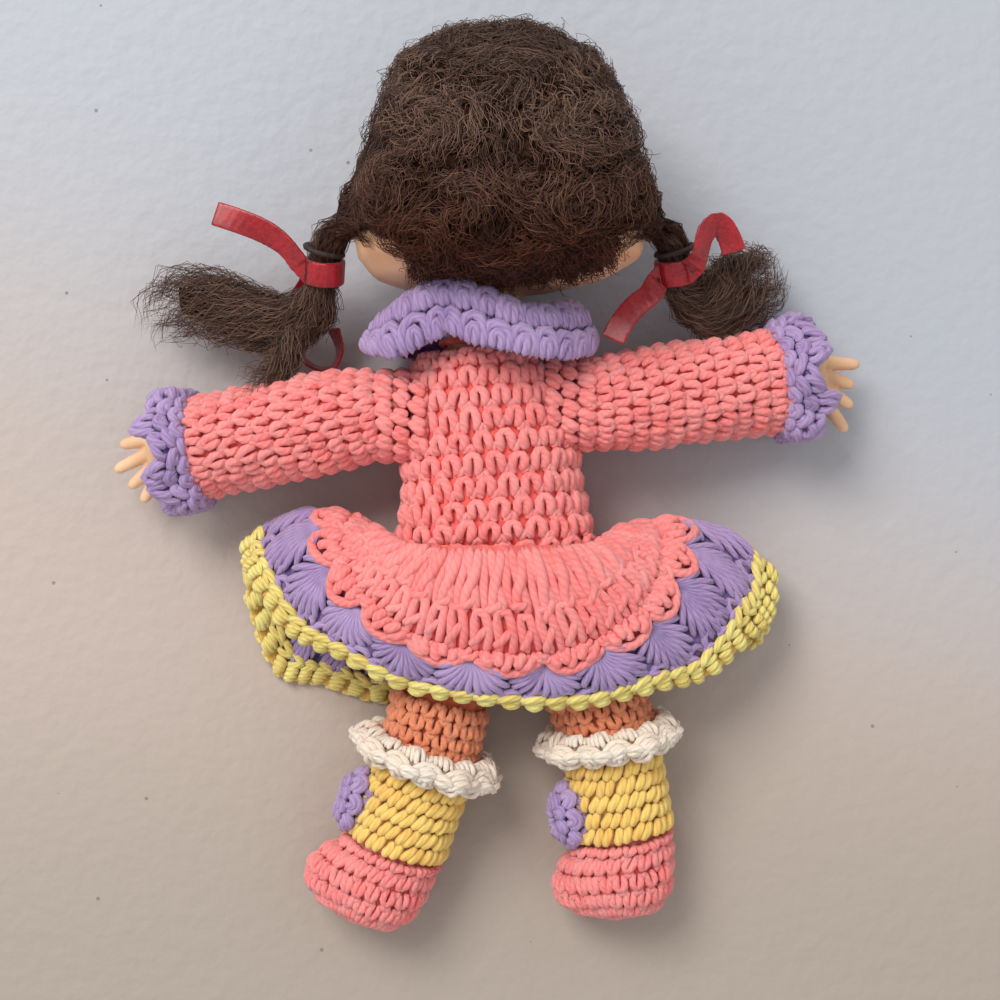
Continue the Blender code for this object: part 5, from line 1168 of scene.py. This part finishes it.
def paint_face(material):
    """Paint on the front of the head: brows, eyes, blush and a small closed smile. Places are in millimetres."""
    tree = Tree(material.node_tree)
    shader = next(n for n in material.node_tree.nodes if n.type == "BSDF_PRINCIPLED")
    place = tree.object_place()
    x, y, z = tree.split(place)
    x, y = tree.over(x, MM), tree.over(y, MM)
    aside = tree.math("ABSOLUTE", tree.minus(x, FACE_MIDDLE_X))
    front = tree.math("LESS_THAN", z, 24 * MM)

    def spot(across, up, width, height, soft, centre=aside):
        """1 inside an ellipse and 0 outside, with a soft edge."""
        dx = tree.over(tree.minus(centre, across), width)
        dy = tree.over(tree.minus(y, up), height)
        far = tree.math("SQRT", tree.plus(tree.times(dx, dx), tree.times(dy, dy)))
        return tree.minus(1.0, tree.ramp(far, 1 - soft, 1 + soft))

    def arc(across, up, width, height, line):
        """The upper edge of an ellipse as a brush stroke."""
        lower = spot(across, up - line, width * 0.98, height, 0.04)
        return tree.math("MAXIMUM", tree.minus(spot(across, up, width, height, 0.04), lower), 0.0)

    smile_y = tree.plus(MOUTH_Y, tree.times(tree.times(aside, aside), 0.035))
    lips = tree.math("ABSOLUTE", tree.minus(y, smile_y))
    inside = tree.math("LESS_THAN", aside, 6.0)
    thick = tree.math("MULTIPLY_ADD", aside, -0.16, 1.25)
    lip = tree.times(inside, tree.minus(1.0, tree.ramp(tree.over(lips, thick), 0.8, 1.1)))
    line = tree.times(inside, tree.minus(1.0, tree.ramp(lips, 0.1, 0.28)))
    paint = ((spot(16.0, 60.0, 7.5, 5.5, 0.9), srgb(236, 150, 128), 0.5),
             (spot(12.5, EYE_Y, 5.2, 3.5, 0.05), srgb(246, 244, 240), 1.0),
             (spot(12.2, EYE_Y, 2.9, 3.1, 0.08), srgb(96, 62, 40), 1.0),
             (spot(12.2, EYE_Y, 1.4, 1.5, 0.1), srgb(18, 12, 10), 1.0),
             # The small white dot in each eye is a painted highlight, drawn as part of the face paint.
             (spot(11.2, EYE_Y + 1.1, 0.6, 0.6, 0.2), srgb(255, 255, 255), 1.0),
             (arc(12.5, EYE_Y, 5.7, 3.9, 0.75), srgb(52, 32, 24), 1.0),
             (arc(12.5, EYE_Y + 5.0, 6.2, 3.2, 0.7), srgb(110, 74, 54), 0.8),
             (lip, srgb(206, 104, 96), 0.9), (line, srgb(150, 62, 60), 0.9))
    colour = shader.inputs["Base Color"].links[0].from_socket
    for mask, tint, strength in paint:
        colour = tree.mix(tree.times(tree.times(mask, front), strength), colour, tint)
    tree.feed(shader.inputs["Base Color"], colour)
    return material


FACE = paint_face(vinyl_material())


def outside_only(mesh, centre):
    """Takes the inner wall out of a hollow shell and closes the rest, so a coarse remesh leaves no holes."""
    work = bmesh.new()
    work.from_mesh(mesh)
    bmesh.ops.remove_doubles(work, verts=work.verts, dist=0.01 * MM)
    inner = []
    for face in work.faces:
        place = face.calc_center_median()
        middle = centre if place.y > NECK_TOP else Vector((NECK_X, place.y, NECK_Z))
        if face.normal.dot(place - middle) < -1e-7:
            inner.append(face)
    bmesh.ops.delete(work, geom=inner, context="FACES")
    bmesh.ops.holes_fill(work, edges=[e for e in work.edges if e.is_boundary], sides=0)
    bmesh.ops.recalc_face_normals(work, faces=work.faces)
    work.to_mesh(mesh)
    work.free()


def smooth_copy(name, node, material, body, voxel, smoothing=4, centre=None):
    """A finer copy of a CAD node: remeshed into small even faces, then smoothed."""
    mesh = frame["nodes"][node].data.copy()
    if centre is not None:
        outside_only(mesh, centre)
    work = new_object("work", mesh)
    remesh = work.modifiers.new("remesh", "REMESH")
    remesh.mode, remesh.voxel_size = "VOXEL", voxel
    relax = work.modifiers.new("relax", "SMOOTH")
    relax.factor, relax.iterations = 0.5, smoothing
    bpy.context.view_layer.update()
    graph = bpy.context.evaluated_depsgraph_get()
    done = bpy.data.meshes.new_from_object(work.evaluated_get(graph), depsgraph=graph)
    bpy.data.objects.remove(work)
    done.name = name
    done.materials.clear()
    done.materials.append(material)
    done.shade_smooth()
    return new_piece(name, done, body, [node])


HEAD_CENTRE = Vector((1.8, 70.0, 31.0)) * MM
NECK_TOP = 42.0 * MM
NECK_X, NECK_Z = (joints["neck_turn"]["pos_m"][0], joints["neck_turn"]["pos_m"][2])
head = smooth_copy("vinyl_head", "head", FACE, "head", 1.35 * MM, 5, HEAD_CENTRE)
for side in ("left", "right"):
    hand = smooth_copy(side + "_vinyl_hand", side + "_hand", VINYL, side + "_hand", 0.48 * MM, 3)
    for vertex in hand.data.vertices:
        vertex.co += vertex.normal * 0.25 * MM


def hair_base_shade_material():
    material, tree, shader = new_material("hair_base")
    place = tree.object_place()
    patch = tree.cloud(place, 900.0, 3.0)
    # The base is painted much darker than the strands: painted shade for the depths of the hair, mottled at random.
    tree.feed(shader.inputs["Base Color"], tree.mix(tree.ramp(patch, 0.4, 0.66), srgb(24, 13, 9), srgb(66, 43, 33)))
    settle(shader, Roughness=1.0, Specular_IOR_Level=0.05)
    return material


HAIR_BASE = hair_base_shade_material()
hair_base = smooth_copy("hair_base", "hair_cap", HAIR_BASE, "head", 1.6 * MM, 2)

# %% [markdown]
# ## Hair
# The hair is thousands of thin, frizzy strands. A few hundred guide lines are walked over the cap first: a flow
# field sends them from the crown to the tails and turns them round the centres of the big curls. One tree then
# copies each guide into a lock, spreads and crinkles the copies, and makes them thin tubes.

# %% The lock tree
HAIR_OUT = "out"


def lock_tree():
    group = bpy.data.node_groups.new("locks", "GeometryNodeTree")
    group.interface.new_socket("Geometry", in_out="OUTPUT", socket_type="NodeSocketGeometry")
    group.interface.new_socket("Guides", in_out="INPUT", socket_type="NodeSocketGeometry")
    for name, value in (("Copies", 10), ("Rings", 16), ("Sides", 3), ("Seed", 1)):
        float_in(group, name, value, "NodeSocketInt")
    for name, value in (("Spread", MM), ("Tip Spread", MM), ("Curl Length", 14 * MM), ("Frizz", 0.6 * MM),
                        ("Frizz Scale", 260.0), ("Strand Radius", 0.14 * MM), ("Shortest", 0.6),
                        ("Table", 0.2 * MM)):
        float_in(group, name, value)
    float_in(group, "Material", None, "NodeSocketMaterial")
    t = Tree(group)
    given = t.add("NodeGroupInput").outputs
    lines = t.add("GeometryNodeMeshToCurve", Mesh=given["Guides"])
    smooth = t.add("GeometryNodeCurveSplineType", {"spline_type": "CATMULL_ROM"}, Curve=lines)
    even = t.add("GeometryNodeResampleCurve", Curve=smooth, Count=given["Rings"])
    copies = t.add("GeometryNodeDuplicateElements", {"domain": "SPLINE"}, Geometry=even, Amount=given["Copies"])
    strand = t.add("GeometryNodeCurveOfPoint").outputs["Curve Index"]

    def chance(low, high, extra):
        return t.chance(low, high, given["Seed"], extra, ID=strand)

    run = t.add("GeometryNodeSplineParameter").outputs
    turn = t.plus(chance(0.0, TAU, 1), t.times(t.over(run["Length"], given["Curl Length"]), TAU))
    spread = t.plus(given["Spread"], t.times(run["Factor"], t.minus(given["Tip Spread"], given["Spread"])))
    reach = t.times(t.math("SQRT", chance(0.0, 1.0, 2)), spread)
    tangent = t.add("GeometryNodeInputTangent").outputs[0]
    out = t.named(HAIR_OUT)
    side = t.vector("NORMALIZE", t.vector("CROSS_PRODUCT", tangent, out))
    aside = t.scaled(side, t.times(reach, t.math("COSINE", turn)))
    lifted = t.scaled(out, t.times(t.times(reach, 0.7), t.math("SINE", turn)))
    place = t.add("GeometryNodeInputPosition").outputs[0]
    shifted = t.vector("ADD", place, t.xyz(chance(0.0, 0.3, 3), chance(0.0, 0.3, 4), 0.0))
    stray = t.cloud(shifted, given["Frizz Scale"], 2.0, "Color", Roughness=0.55)
    grown = t.math("MINIMUM", t.math("MULTIPLY_ADD", run["Factor"], 2.5, 0.25), 1.0)
    crinkle = t.scaled(t.vector("SUBTRACT", stray, (0.5, 0.5, 0.5)), t.times(t.times(given["Frizz"], 2.6), grown))
    moved = t.vector("ADD", t.vector("ADD", place, aside), t.vector("ADD", lifted, crinkle))
    place = t.on_table(moved, given["Table"])
    seated = t.add("GeometryNodeSetPosition", Geometry=copies.outputs[0], Position=place)
    toned = t.store("tone", "FLOAT", "POINT", seated, chance(0.0, 1.0, 5))
    end = t.chance(given["Shortest"], 1.0, given["Seed"], 6)
    cut = t.tree.nodes.new("GeometryNodeTrimCurve")
    t.put(cut, "Curve", toned)
    t.put(cut, "End", end)
    factor = t.add("GeometryNodeSplineParameter").outputs["Factor"]
    ends = t.math("MINIMUM", factor, t.minus(1.0, factor))
    taper = t.math("MAXIMUM", t.math("MINIMUM", t.times(ends, 8.0), 1.0), 0.15)
    profile = t.add("GeometryNodeCurvePrimitiveCircle", Resolution=given["Sides"], Radius=1.0)
    rail = t.add("GeometryNodeCaptureAttribute", Geometry=cut)
    rail.capture_items.new("FLOAT", "along")
    t.feed(rail.inputs[1], t.add("GeometryNodeSplineParameter").outputs["Length"])
    solid = t.add("GeometryNodeCurveToMesh", Curve=rail.outputs[0], Profile_Curve=profile,
                  Scale=t.times(taper, given["Strand Radius"]), Fill_Caps=True)
    strand_map = t.xyz(t.over(rail.outputs[1], MM), 0.0, 0.0)
    mapped = t.store(STRAND_MAP, "FLOAT2", "CORNER", solid, strand_map)
    tube = t.add("GeometryNodeSetShadeSmooth", Geometry=mapped)
    painted = t.add("GeometryNodeSetMaterial", Geometry=tube, Material=given["Material"])
    t.add("NodeGroupOutput", Geometry=painted)
    return group


def hair_material(name, dark, light, warm_dark, warm_light):
    material, tree, shader = new_material(name)
    tone = tree.attribute("tone")
    warm = tree.attribute("warm")
    strand = tree.add("ShaderNodeUVMap", {"uv_map": STRAND_MAP}).outputs[0]
    streak = tree.cloud(strand, 0.6)
    crest_light = tree.attribute("crest_light")
    shade = tree.ramp(tree.plus(tree.times(tone, 0.75), tree.times(streak, 0.45)), 0.1, 1.0)
    # Strands high on a curl's crest are painted lighter and those in the creases darker: painted light and shade.
    shade = tree.times(shade, tree.math("MULTIPLY_ADD", crest_light, 0.7, 0.62))
    colour = tree.mix(warm, tree.mix(shade, dark, light), tree.mix(shade, warm_dark, warm_light))
    tree.feed(shader.inputs["Base Color"], colour)
    settle(shader, Roughness=0.45, Specular_IOR_Level=0.3)
    return material


LOCKS = lock_tree()
HAIR = hair_material("brown_hair", srgb(36, 22, 16), srgb(136, 104, 88), srgb(42, 17, 9), srgb(104, 54, 30))
print("lock tree", len(LOCKS.nodes), "nodes")

YARNS["hair"] = HAIR, HAIR_BASE, "brown_hair"

# %% Curls on the back of the head
# Each curl is a centre and two radii as they lie in the picture (pixels), its height and the way it turns.
CURLS = ((440, 124, 66, 42, 3.6, 1), (574, 128, 68, 42, 3.4, -1), (508, 74, 62, 30, 1.0, 1),
         (466, 196, 42, 32, 1.9, 1), (426, 236, 52, 42, 2.1, 1), (572, 208, 54, 40, 2.0, -1),
         (536, 248, 28, 22, 1.5, 1), (612, 246, 30, 26, 1.4, -1), (500, 268, 38, 24, 1.2, 1),
         (384, 186, 32, 40, 1.4, -1), (640, 186, 26, 40, 1.4, 1), (408, 76, 50, 30, 1.5, 1),
         (594, 72, 54, 30, 1.5, -1), (522, 186, 24, 30, 1.6, -1))
CROWN = (483.0, 42.0)
TAIL_ROOTS = ((332.0, 218.0), (672.0, 229.0))
CREASE, HAIRLINE, NAPE = 168.0, 236, 277.0
PIXEL = SENSOR_WIDTH / CAMERA_LENS / 1000


def in_picture(p):
    size = PIXEL * (CAMERA_MIDDLE.z - p[2])
    return 500 + (p[0] - CAMERA_MIDDLE.x) / size, 500 - (p[1] - CAMERA_MIDDLE.y) / size


def curl_height(p, normal):
    """How far a curl stands up from the cap here. Each curl is a low dome, so a crease is left where two meet."""
    px, py = in_picture(p)
    best = 0.0
    for cx, cy, a, b, high, _ in CURLS:
        far = ((px - cx) / a) ** 2 + ((py - cy) / b) ** 2
        if far < 1:
            best = max(best, high * (1 - far) ** 0.42)
    return best * max(0.0, min(1.0, normal[2] * 1.8 - 0.25)) * MM


def hair_flow(p, normal):
    """The way a strand runs here: from the crown to the tails or the nape, and round any curl that is near."""
    px, py = in_picture(p)
    away = Vector((px - CROWN[0], py - CROWN[1]))
    flow = away.normalized() * 0.7 + Vector((0.0, 0.5)) if py < CREASE else Vector((0.1, 0.9))
    root = TAIL_ROOTS[0] if px < 500 else TAIL_ROOTS[1]
    to_tail = Vector((root[0] - px, root[1] - py))
    edge = max(0.0, (abs(px - 500) - 95) / 45)
    flow += to_tail.normalized() * edge
    for cx, cy, a, b, _, way in CURLS:
        dx, dy = (px - cx) / a, (py - cy) / b
        far = dx * dx + dy * dy
        if far < 2.4:
            orbit = Vector((-dy * a, dx * b)) * way
            flow += orbit.normalized() * (3.2 * math.exp(-1.1 * far))
    stray = noise.noise_vector(Vector(p) * 110.0)
    flow += Vector((stray.x, stray.y)) * 0.8
    way = Vector((flow.x, -flow.y, 0.0))
    way -= normal * way.dot(normal)
    return way.normalized() if way.length > 1e-6 else normal.orthogonal().normalized()


def surface_of(piece):
    mesh = piece.data
    return BVHTree.FromPolygons([v.co.copy() for v in mesh.vertices], [list(p.vertices) for p in mesh.polygons])


CAP = surface_of(hair_base)
SKULL = surface_of(head)


def near_curl(p):
    """1 at a curl's centre, where the flow leaves the scalp bare, so more strands are rooted there."""
    px, py = in_picture(p)
    spots = CURLS + ((*CROWN, 90, 70),)
    return max(math.exp(-7 * (((px - c[0]) / c[2]) ** 2 + ((py - c[1]) / c[3]) ** 2)) for c in spots)


def seeds_on(piece, count, seed, lowest):
    """Even random points on the outside of a piece, not further round towards the table than lowest."""
    chance = random.Random(seed)
    faces = [(p.center.copy(), p.normal.copy(), p.area) for p in piece.data.polygons
             if p.normal.dot(p.center - HEAD_CENTRE) > 0 and p.normal.z > lowest]
    weights = []
    for place, _, area in faces:
        px, py = in_picture(place)
        more = 2.5 if py > HAIRLINE else 2 if abs(px - 500) > 110 and py > 140 else 0
        weights.append(area * (1 + 3 * near_curl(place) + more))
    return chance.choices([f[:2] for f in faces], weights=weights, k=count), chance


NAPE_SIDES = (415, 612)
# How many steps a strand may hang past the edge, at the nape and elsewhere.
NAPE_HANG, EDGE_HANG = 8, 3


def walk(start, normal, steps, step, lift, chance, loose=0.0):
    """A guide line over the cap. It rises to its lift and comes down again. A loose one turns its own way."""
    bend = chance.uniform(-0.5, 0.5)
    aim = Matrix.Rotation(chance.uniform(0, TAU), 3, normal) @ normal.orthogonal().normalized()
    place, line, outs = start.copy(), [], []
    extra, stray_x, hanging = chance.uniform(0.3, 1.2), chance.uniform(-0.7, 0.7), 0
    for k in range(steps):
        share = k / (steps - 1)
        arch = math.sin(math.pi * min(1.0, share * 1.1)) ** 0.8
        high = curl_height(place, normal) + (lift * extra * arch - 1.3) * MM
        high -= (max(0.0, 0.5 - abs(normal.z)) * 1.6 + max(0.0, normal.y - 0.5) * 3.0) * MM
        line.append(place + normal * high)
        outs.append(normal.copy())
        px, py = in_picture(place)
        if (py > NAPE or hanging) and place.z > HEAD_CENTRE.z and NAPE_SIDES[0] < px < NAPE_SIDES[1]:
            hanging += 1
            if hanging > NAPE_HANG:
                break
            under, facing, _, _ = SKULL.find_nearest(place + Vector((stray_x, -1.0, -0.3)) * step * 0.75)
            place, normal = under + facing * max(1.8, 3.6 - 0.3 * hanging) * MM, facing
            continue
        aim = Matrix.Rotation(bend, 3, normal) @ aim
        way = hair_flow(place, normal) * (1 - loose) + (aim - normal * aim.dot(normal)) * loose
        found, facing, _, _ = CAP.find_nearest(place + way * step)
        past_edge = (found - place).length < 0.5 * step and py > HAIRLINE
        if facing.dot(found - HEAD_CENTRE) < 0 or past_edge:
            hanging += 1
            if hanging > EDGE_HANG:
                break
            place = place + way * step * 0.7
            continue
        place, normal = found, facing
    return line, outs


def guide_lines(name, lines, outs, warmth, body):
    points = [p for line in lines for p in line]
    edges, first = [], 0
    for line in lines:
        edges += [(first + k, first + k + 1) for k in range(len(line) - 1)]
        first += len(line)
    mesh = bpy.data.meshes.new(name)
    mesh.from_pydata(points, edges, [])
    ways = [c for out in outs for normal in out for c in normal]
    mesh.attributes.new(HAIR_OUT, "FLOAT_VECTOR", "POINT").data.foreach_set("vector", ways)
    mesh.attributes.new("warm", "FLOAT", "POINT").data.foreach_set("value", [w for line in warmth for w in line])
    # How high the curl stands here becomes painted light and shade on the strands, lighter on crests and darker in
    # creases; the tails get one value.
    crests = [min(1.0, curl_height(p, n) / (2.4 * MM)) if body == "head" else 0.32
              for line, out in zip(lines, outs) for p, n in zip(line, out)]
    mesh.attributes.new("crest_light", "FLOAT", "POINT").data.foreach_set("value", crests)
    done = new_object(name, mesh)
    done.hide_render = True
    return done


def warmth_of(line, body):
    """The nape hair is redder, because the light comes through it."""
    if body != "head":
        return [0.15] * len(line)
    return [max(0.0, min(1.0, (in_picture(p)[1] - 120) / 130)) for p in line]


def locks(name, lines, outs, body, copies, rings, spread, tip, curl, frizz, scale, radius, shortest, seed):
    """Makes one piece of hair from guide lines. Spreads, curl length, frizz and radius are in millimetres."""
    source = guide_lines(name + "_guides", lines, outs, [warmth_of(line, body) for line in lines], body)
    settings = {"Material": HAIR, "Copies": copies, "Rings": rings, "Spread": spread * MM, "Tip Spread": tip * MM,
                "Curl Length": curl * MM, "Frizz": frizz * MM, "Frizz Scale": scale, "Strand Radius": radius * MM,
                "Shortest": shortest, "Seed": seed}
    return run_tree(name, source, LOCKS, settings, body)


print("guide helpers ready")

# %% Hair on the head
# The base follows the curls, and near the hairline it goes down into the vinyl, so that only strands cross it.
for vertex in hair_base.data.vertices:
    under, facing, _, cover = SKULL.find_nearest(vertex.co)
    if (vertex.co - under).dot(facing) < 0:
        continue
    rise = curl_height(vertex.co, vertex.normal) * min(1.0, cover / (4 * MM))
    rise = rise - 2.5 * MM - max(0.0, 3.4 * MM - cover) * 1.2
    vertex.co += (vertex.co - under).normalized() * rise
# Name, guides, copies, steps, lift, looseness, spread at the root and tip, frizz and its scale.
HAIR_LAYERS = (("under_a", 780, 4, 10, 0.9, 0.85, 1.2, 2.0, 1.0, 300.0),
               ("under_b", 780, 4, 10, 1.0, 0.8, 1.2, 2.0, 1.0, 340.0),
               ("curls_a", 610, 4, 17, 1.0, 0.05, 1.2, 2.2, 1.1, 240.0),
               ("curls_b", 610, 4, 17, 1.2, 0.1, 1.2, 2.2, 1.2, 280.0),
               ("curls_c", 600, 4, 15, 1.4, 0.2, 1.1, 2.4, 1.3, 320.0),
               ("frizz_a", 1080, 2, 11, 1.4, 0.4, 1.4, 2.6, 0.9, 380.0),
               ("frizz_b", 1080, 2, 11, 1.7, 0.65, 1.4, 2.6, 0.9, 420.0),
               ("flyaways", 260, 3, 15, 3.0, 0.5, 1.0, 3.0, 1.7, 190.0))
# The points of a strand and the length of one curl (mm) in each kind of layer.
LAYER_CURLS = {"under": (7, 14), "curls": (11, 12), "frizz": (11, 5.5), "flyaways": (11, 12)}
STRAND, FLYAWAY_STRAND = 0.082, 0.0615
for k, (name, count, copies, steps, lift, loose, spread, tip, frizz, scale) in enumerate(HAIR_LAYERS):
    kind = name.split("_")[0]
    found, chance = seeds_on(hair_base, count, 101 + k, -0.5 if kind == "flyaways" else -0.98)
    made = [walk(place, normal, steps, 1.15 * MM, lift, chance, loose) for place, normal in found]
    made = [m for m in made if len(m[0]) > 3]
    rings, turn = LAYER_CURLS[kind]
    radius = FLYAWAY_STRAND if kind == "flyaways" else STRAND
    lines, outs = [m[0] for m in made], [m[1] for m in made]
    locks("hair_" + name, lines, outs, "head", copies, rings, spread, tip, turn, frizz, scale, radius, 0.5, 7 + k)

# %% Tails of hair
# Rows of each tail from its root: outward, towards the head's top, up, half width and half thickness (mm).
TAIL_ROWS = {
    "left": ((0, 0, 0, 3.8, 3.6), (2.2, -4, -1.2, 3.2, 3.2), (2.4, -8.6, -2.8, 2.6, 2.6), (3, -13, -4.6, 3.4, 3.2),
             (5.4, -17.6, -7.4, 5.8, 4.4), (12, -21.0, -10.6, 7.0, 4.8), (21.4, -18.6, -12.4, 7.8, 4.8),
             (30.4, -15.4, -13.6, 8.6, 4.4), (38.0, -14.4, -14.6, 8.8, 3.8), (44.0, -17.0, -15.6, 7.0, 3.0),
             (47.0, -24.0, -16.4, 3.4, 1.8)),
    "right": ((0, 0, 0, 3.8, 3.6), (2.2, -4, -1.2, 3.2, 3.2), (2.4, -8.6, -2.4, 2.6, 2.6),
              (3.4, -12.8, -4.2, 3.3, 3.2), (7.4, -16, -6.8, 5.6, 4.4), (13.6, -14.8, -9, 8.6, 4.8),
              (19.6, -11.2, -10.8, 9.6, 4.4), (24.8, -8.4, -12, 7.8, 3.6), (29.5, -6.0, -13, 3.4, 2.0)),
}
CORE_SHARE = 0.54
TAIL_GUIDES, LOCK_GUIDES, CAP_GUIDES = 230, 36, 110
TAIL_POINTS, CAP_POINTS = 18, 8
# The middle of a thinner lock under each tail, as outward, towards the head's top and up from the root (mm).
SECOND_LOCK = {"left": ((5.0, -17.0, -6.0), (8.0, -21.5, -7.0), (10.5, -26.5, -6.0), (13.0, -31.5, -4.0),
                        (17.5, -35.0, -2.5), (22.5, -37.0, -2.0)),
               "right": ((4.0, -13.0, -5.0), (6.0, -17.0, -6.0), (9.0, -21.0, -6.5), (13.0, -23.5, -7.0),
                         (17.0, -24.5, -7.5))}


def tail_core(side, rows):
    """The inside of a tail in the dark hair base, which is painted shade: a closed tube through its rows, thinner
    than the hair around it.
    """
    grid = []
    for j, (middle, width, high) in enumerate(rows[:-2]):
        way = (rows[min(len(rows) - 1, j + 1)][0] - rows[max(0, j - 1)][0]).normalized()
        across, up = square_to(way)
        share = CORE_SHARE * (1.0 if j < 4 else 0.7)
        turns = [TAU * i / 20 for i in range(20)]
        grid.append([middle + across * (width * share * math.cos(turn)) - up * (high * share * math.sin(turn))
                     for turn in turns])
    guide = guide_object(side + "_core_guide", grid)
    underlayer(side + "_tail_core", guide, 0.0, "hair", side + "_tail", [side + "_hair_tail"])


def tail_lines(rows, chance):
    """Guide lines along a tail, each with its own start, end, turn and depth."""
    count = len(rows)
    lines, outs = [], []
    for k in range(TAIL_GUIDES):
        angle, deep = chance.uniform(0, TAU), chance.uniform(0.4, 1.08)
        start = 0 if k % 3 == 0 else chance.uniform(2.0, count * 0.55)
        stop = min(count - 1.0, start + chance.uniform(2.5, 6.0)) if k % 3 else chance.uniform(4.5, count - 1.2)
        line, out = [], []
        for i in range(TAIL_POINTS):
            at = start + (stop - start) * i / (TAIL_POINTS - 1)
            j = min(int(at), count - 2)
            share = at - j
            middle = rows[j][0].lerp(rows[j + 1][0], share)
            before, after = rows[max(0, j - 1)][0], rows[min(count - 1, j + 2)][0]
            across, up = square_to((after - before).normalized())
            width = (rows[j][1] * (1 - share) + rows[j + 1][1] * share) * deep
            high = (rows[j][2] * (1 - share) + rows[j + 1][2] * share) * deep
            turn = angle + 0.12 * (at - start)
            line.append(middle + across * (width * math.cos(turn)) + up * (high * math.sin(turn)))
            out.append(across * math.cos(turn) + up * math.sin(turn))
        lines.append(line)
        outs.append(out)
    return lines, outs


def lines_to_tail(root, sign, rows, seeds, chance):
    """Guide lines that run over the cap to a tail's root and a little way into it."""
    near = [(place, normal) for place, normal in seeds if (place.x - root.x) * sign > -16 * MM
            and 3 * MM < (place - root).length < 24 * MM][:CAP_GUIDES]
    lines, outs = [], []
    for place, _ in near:
        line, out = [], []
        wide = Vector([chance.uniform(-1, 1) for _ in range(3)])
        for i in range(CAP_POINTS):
            share = i / CAP_POINTS
            spot, facing, _, _ = CAP.find_nearest(place.lerp(root, share))
            line.append(spot + facing * (0.2 - 1.2 * (1 - share)) * MM + wide * share * 1.6 * MM)
            out.append(facing)
        for (middle, width, _), (after, _, _) in zip(rows[:2], rows[1:3]):
            line.append(middle.lerp(after, 0.3) + wide * (width * 0.85))
            out.append(wide.normalized())
        lines.append(line)
        outs.append(out)
    return lines, outs


print("guides of the tails ready")

# %% Hair of the tails
for side in ("left", "right"):
    root, sign, body = Vector(joints[side + "_tail_lift"]["pos_m"]), SIDE_SIGN[side], side + "_tail"
    rows = [(root + Vector((sign * x, y, z)) * MM, width * MM, high * MM)
            for x, y, z, width, high in TAIL_ROWS[side]]
    lines, outs = tail_lines(rows, random.Random(151 if side == "left" else 157))
    tail_core(side, rows)
    seeds, chance = seeds_on(hair_base, 1500, 171 if side == "left" else 173, -0.6)
    to_tail, to_outs = lines_to_tail(root, sign, rows, seeds, chance)
    locks(side + "_hair_to_tail", to_tail, to_outs, "head", 6, 11, 0.9, 0.7, 9, 0.8, 260.0, STRAND, 0.75, 177)
    for part, name in enumerate(("_hair_a", "_hair_b")):
        locks(body + name, lines[part::2], outs[part::2], body, 5, 13, 0.8, 3.4, 11, 1.6, 150.0, 0.08, 0.5,
              61 + part)
    lock = [root + Vector((sign * x, y, z)) * MM for x, y, z in SECOND_LOCK[side]]
    for _ in range(LOCK_GUIDES):
        stray = Vector([chance.uniform(-1, 1) for _ in range(3)])
        lines.append([p + stray * (1.6 + 0.4 * i) * MM for i, p in enumerate(lock)])
        outs.append([Z.copy()] * len(lock))
    locks(body + "_lock", lines[-LOCK_GUIDES:], outs[-LOCK_GUIDES:], body, 6, 14, 0.9, 2.4, 9, 1.4, 170.0, 0.08,
          0.5, 65)
    locks(body + "_wisps", lines[::4], outs[::4], body, 4, 13, 1.6, 5.5, 14, 2.2, 120.0, 0.07, 0.5, 67)
print("hair done")

# %% Satin, elastics and the neck thread
def satin_material():
    material, tree, shader = new_material("red_satin")
    place = tree.object_place()
    weave = tree.cloud(place, 1500.0, 1.0)
    patch = tree.cloud(place, 150.0)
    shade = tree.plus(tree.times(weave, 0.5), tree.times(patch, 0.5))
    colour = tree.mix(tree.ramp(shade, 0.3, 0.7), srgb(122, 8, 18), srgb(178, 18, 32))
    tree.feed(shader.inputs["Base Color"], colour)
    settle(shader, Roughness=0.34, Anisotropic=0.6, Sheen_Weight=0.2)
    bump(tree, shader, patch, 0.2 * MM, 0.3)
    return material


def elastic_material():
    material, tree, shader = new_material("hair_elastic")
    place = tree.object_place()
    ribs = tree.add("ShaderNodeTexWave", Vector=place, Scale=900.0, Distortion=2.0).outputs[1]
    tree.feed(shader.inputs["Base Color"], tree.mix(ribs, srgb(30, 19, 15), srgb(58, 41, 34)))
    settle(shader, Roughness=0.6)
    bump(tree, shader, ribs, 0.1 * MM, 0.6)
    return material


SATIN, ELASTIC = satin_material(), elastic_material()
for side in ("left", "right"):
    smooth_copy(side + "_elastic", side + "_hair_elastic", ELASTIC, side + "_tail", 0.3 * MM, 2)
    for part in ("ribbon_knot", "ribbon_streamer", "ribbon_loop"):
        smooth_copy(side + "_satin_" + part[7:], side + "_" + part, SATIN, side + "_tail", 0.3 * MM, 3)
# The neck thread wears the coral lining, a darker coral that is painted shade.
smooth_copy("neck_gathering", "neck_thread", YARNS["coral"][1], "torso", 0.45 * MM, 2)

# %% [markdown]
# ## Last step
# The helper shapes go, and the number of triangles is printed.

# %% Finish
for helper in [o for o in bpy.data.objects if o.hide_render and o.type == "MESH" and o.name not in frame["nodes"]]:
    bpy.data.objects.remove(helper)
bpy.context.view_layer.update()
shown = [o for o in bpy.data.objects if o.type == "MESH" and not o.hide_render and o.name not in frame["nodes"]]
print("triangles", sum(len(p.vertices) - 2 for o in shown for p in o.data.polygons))
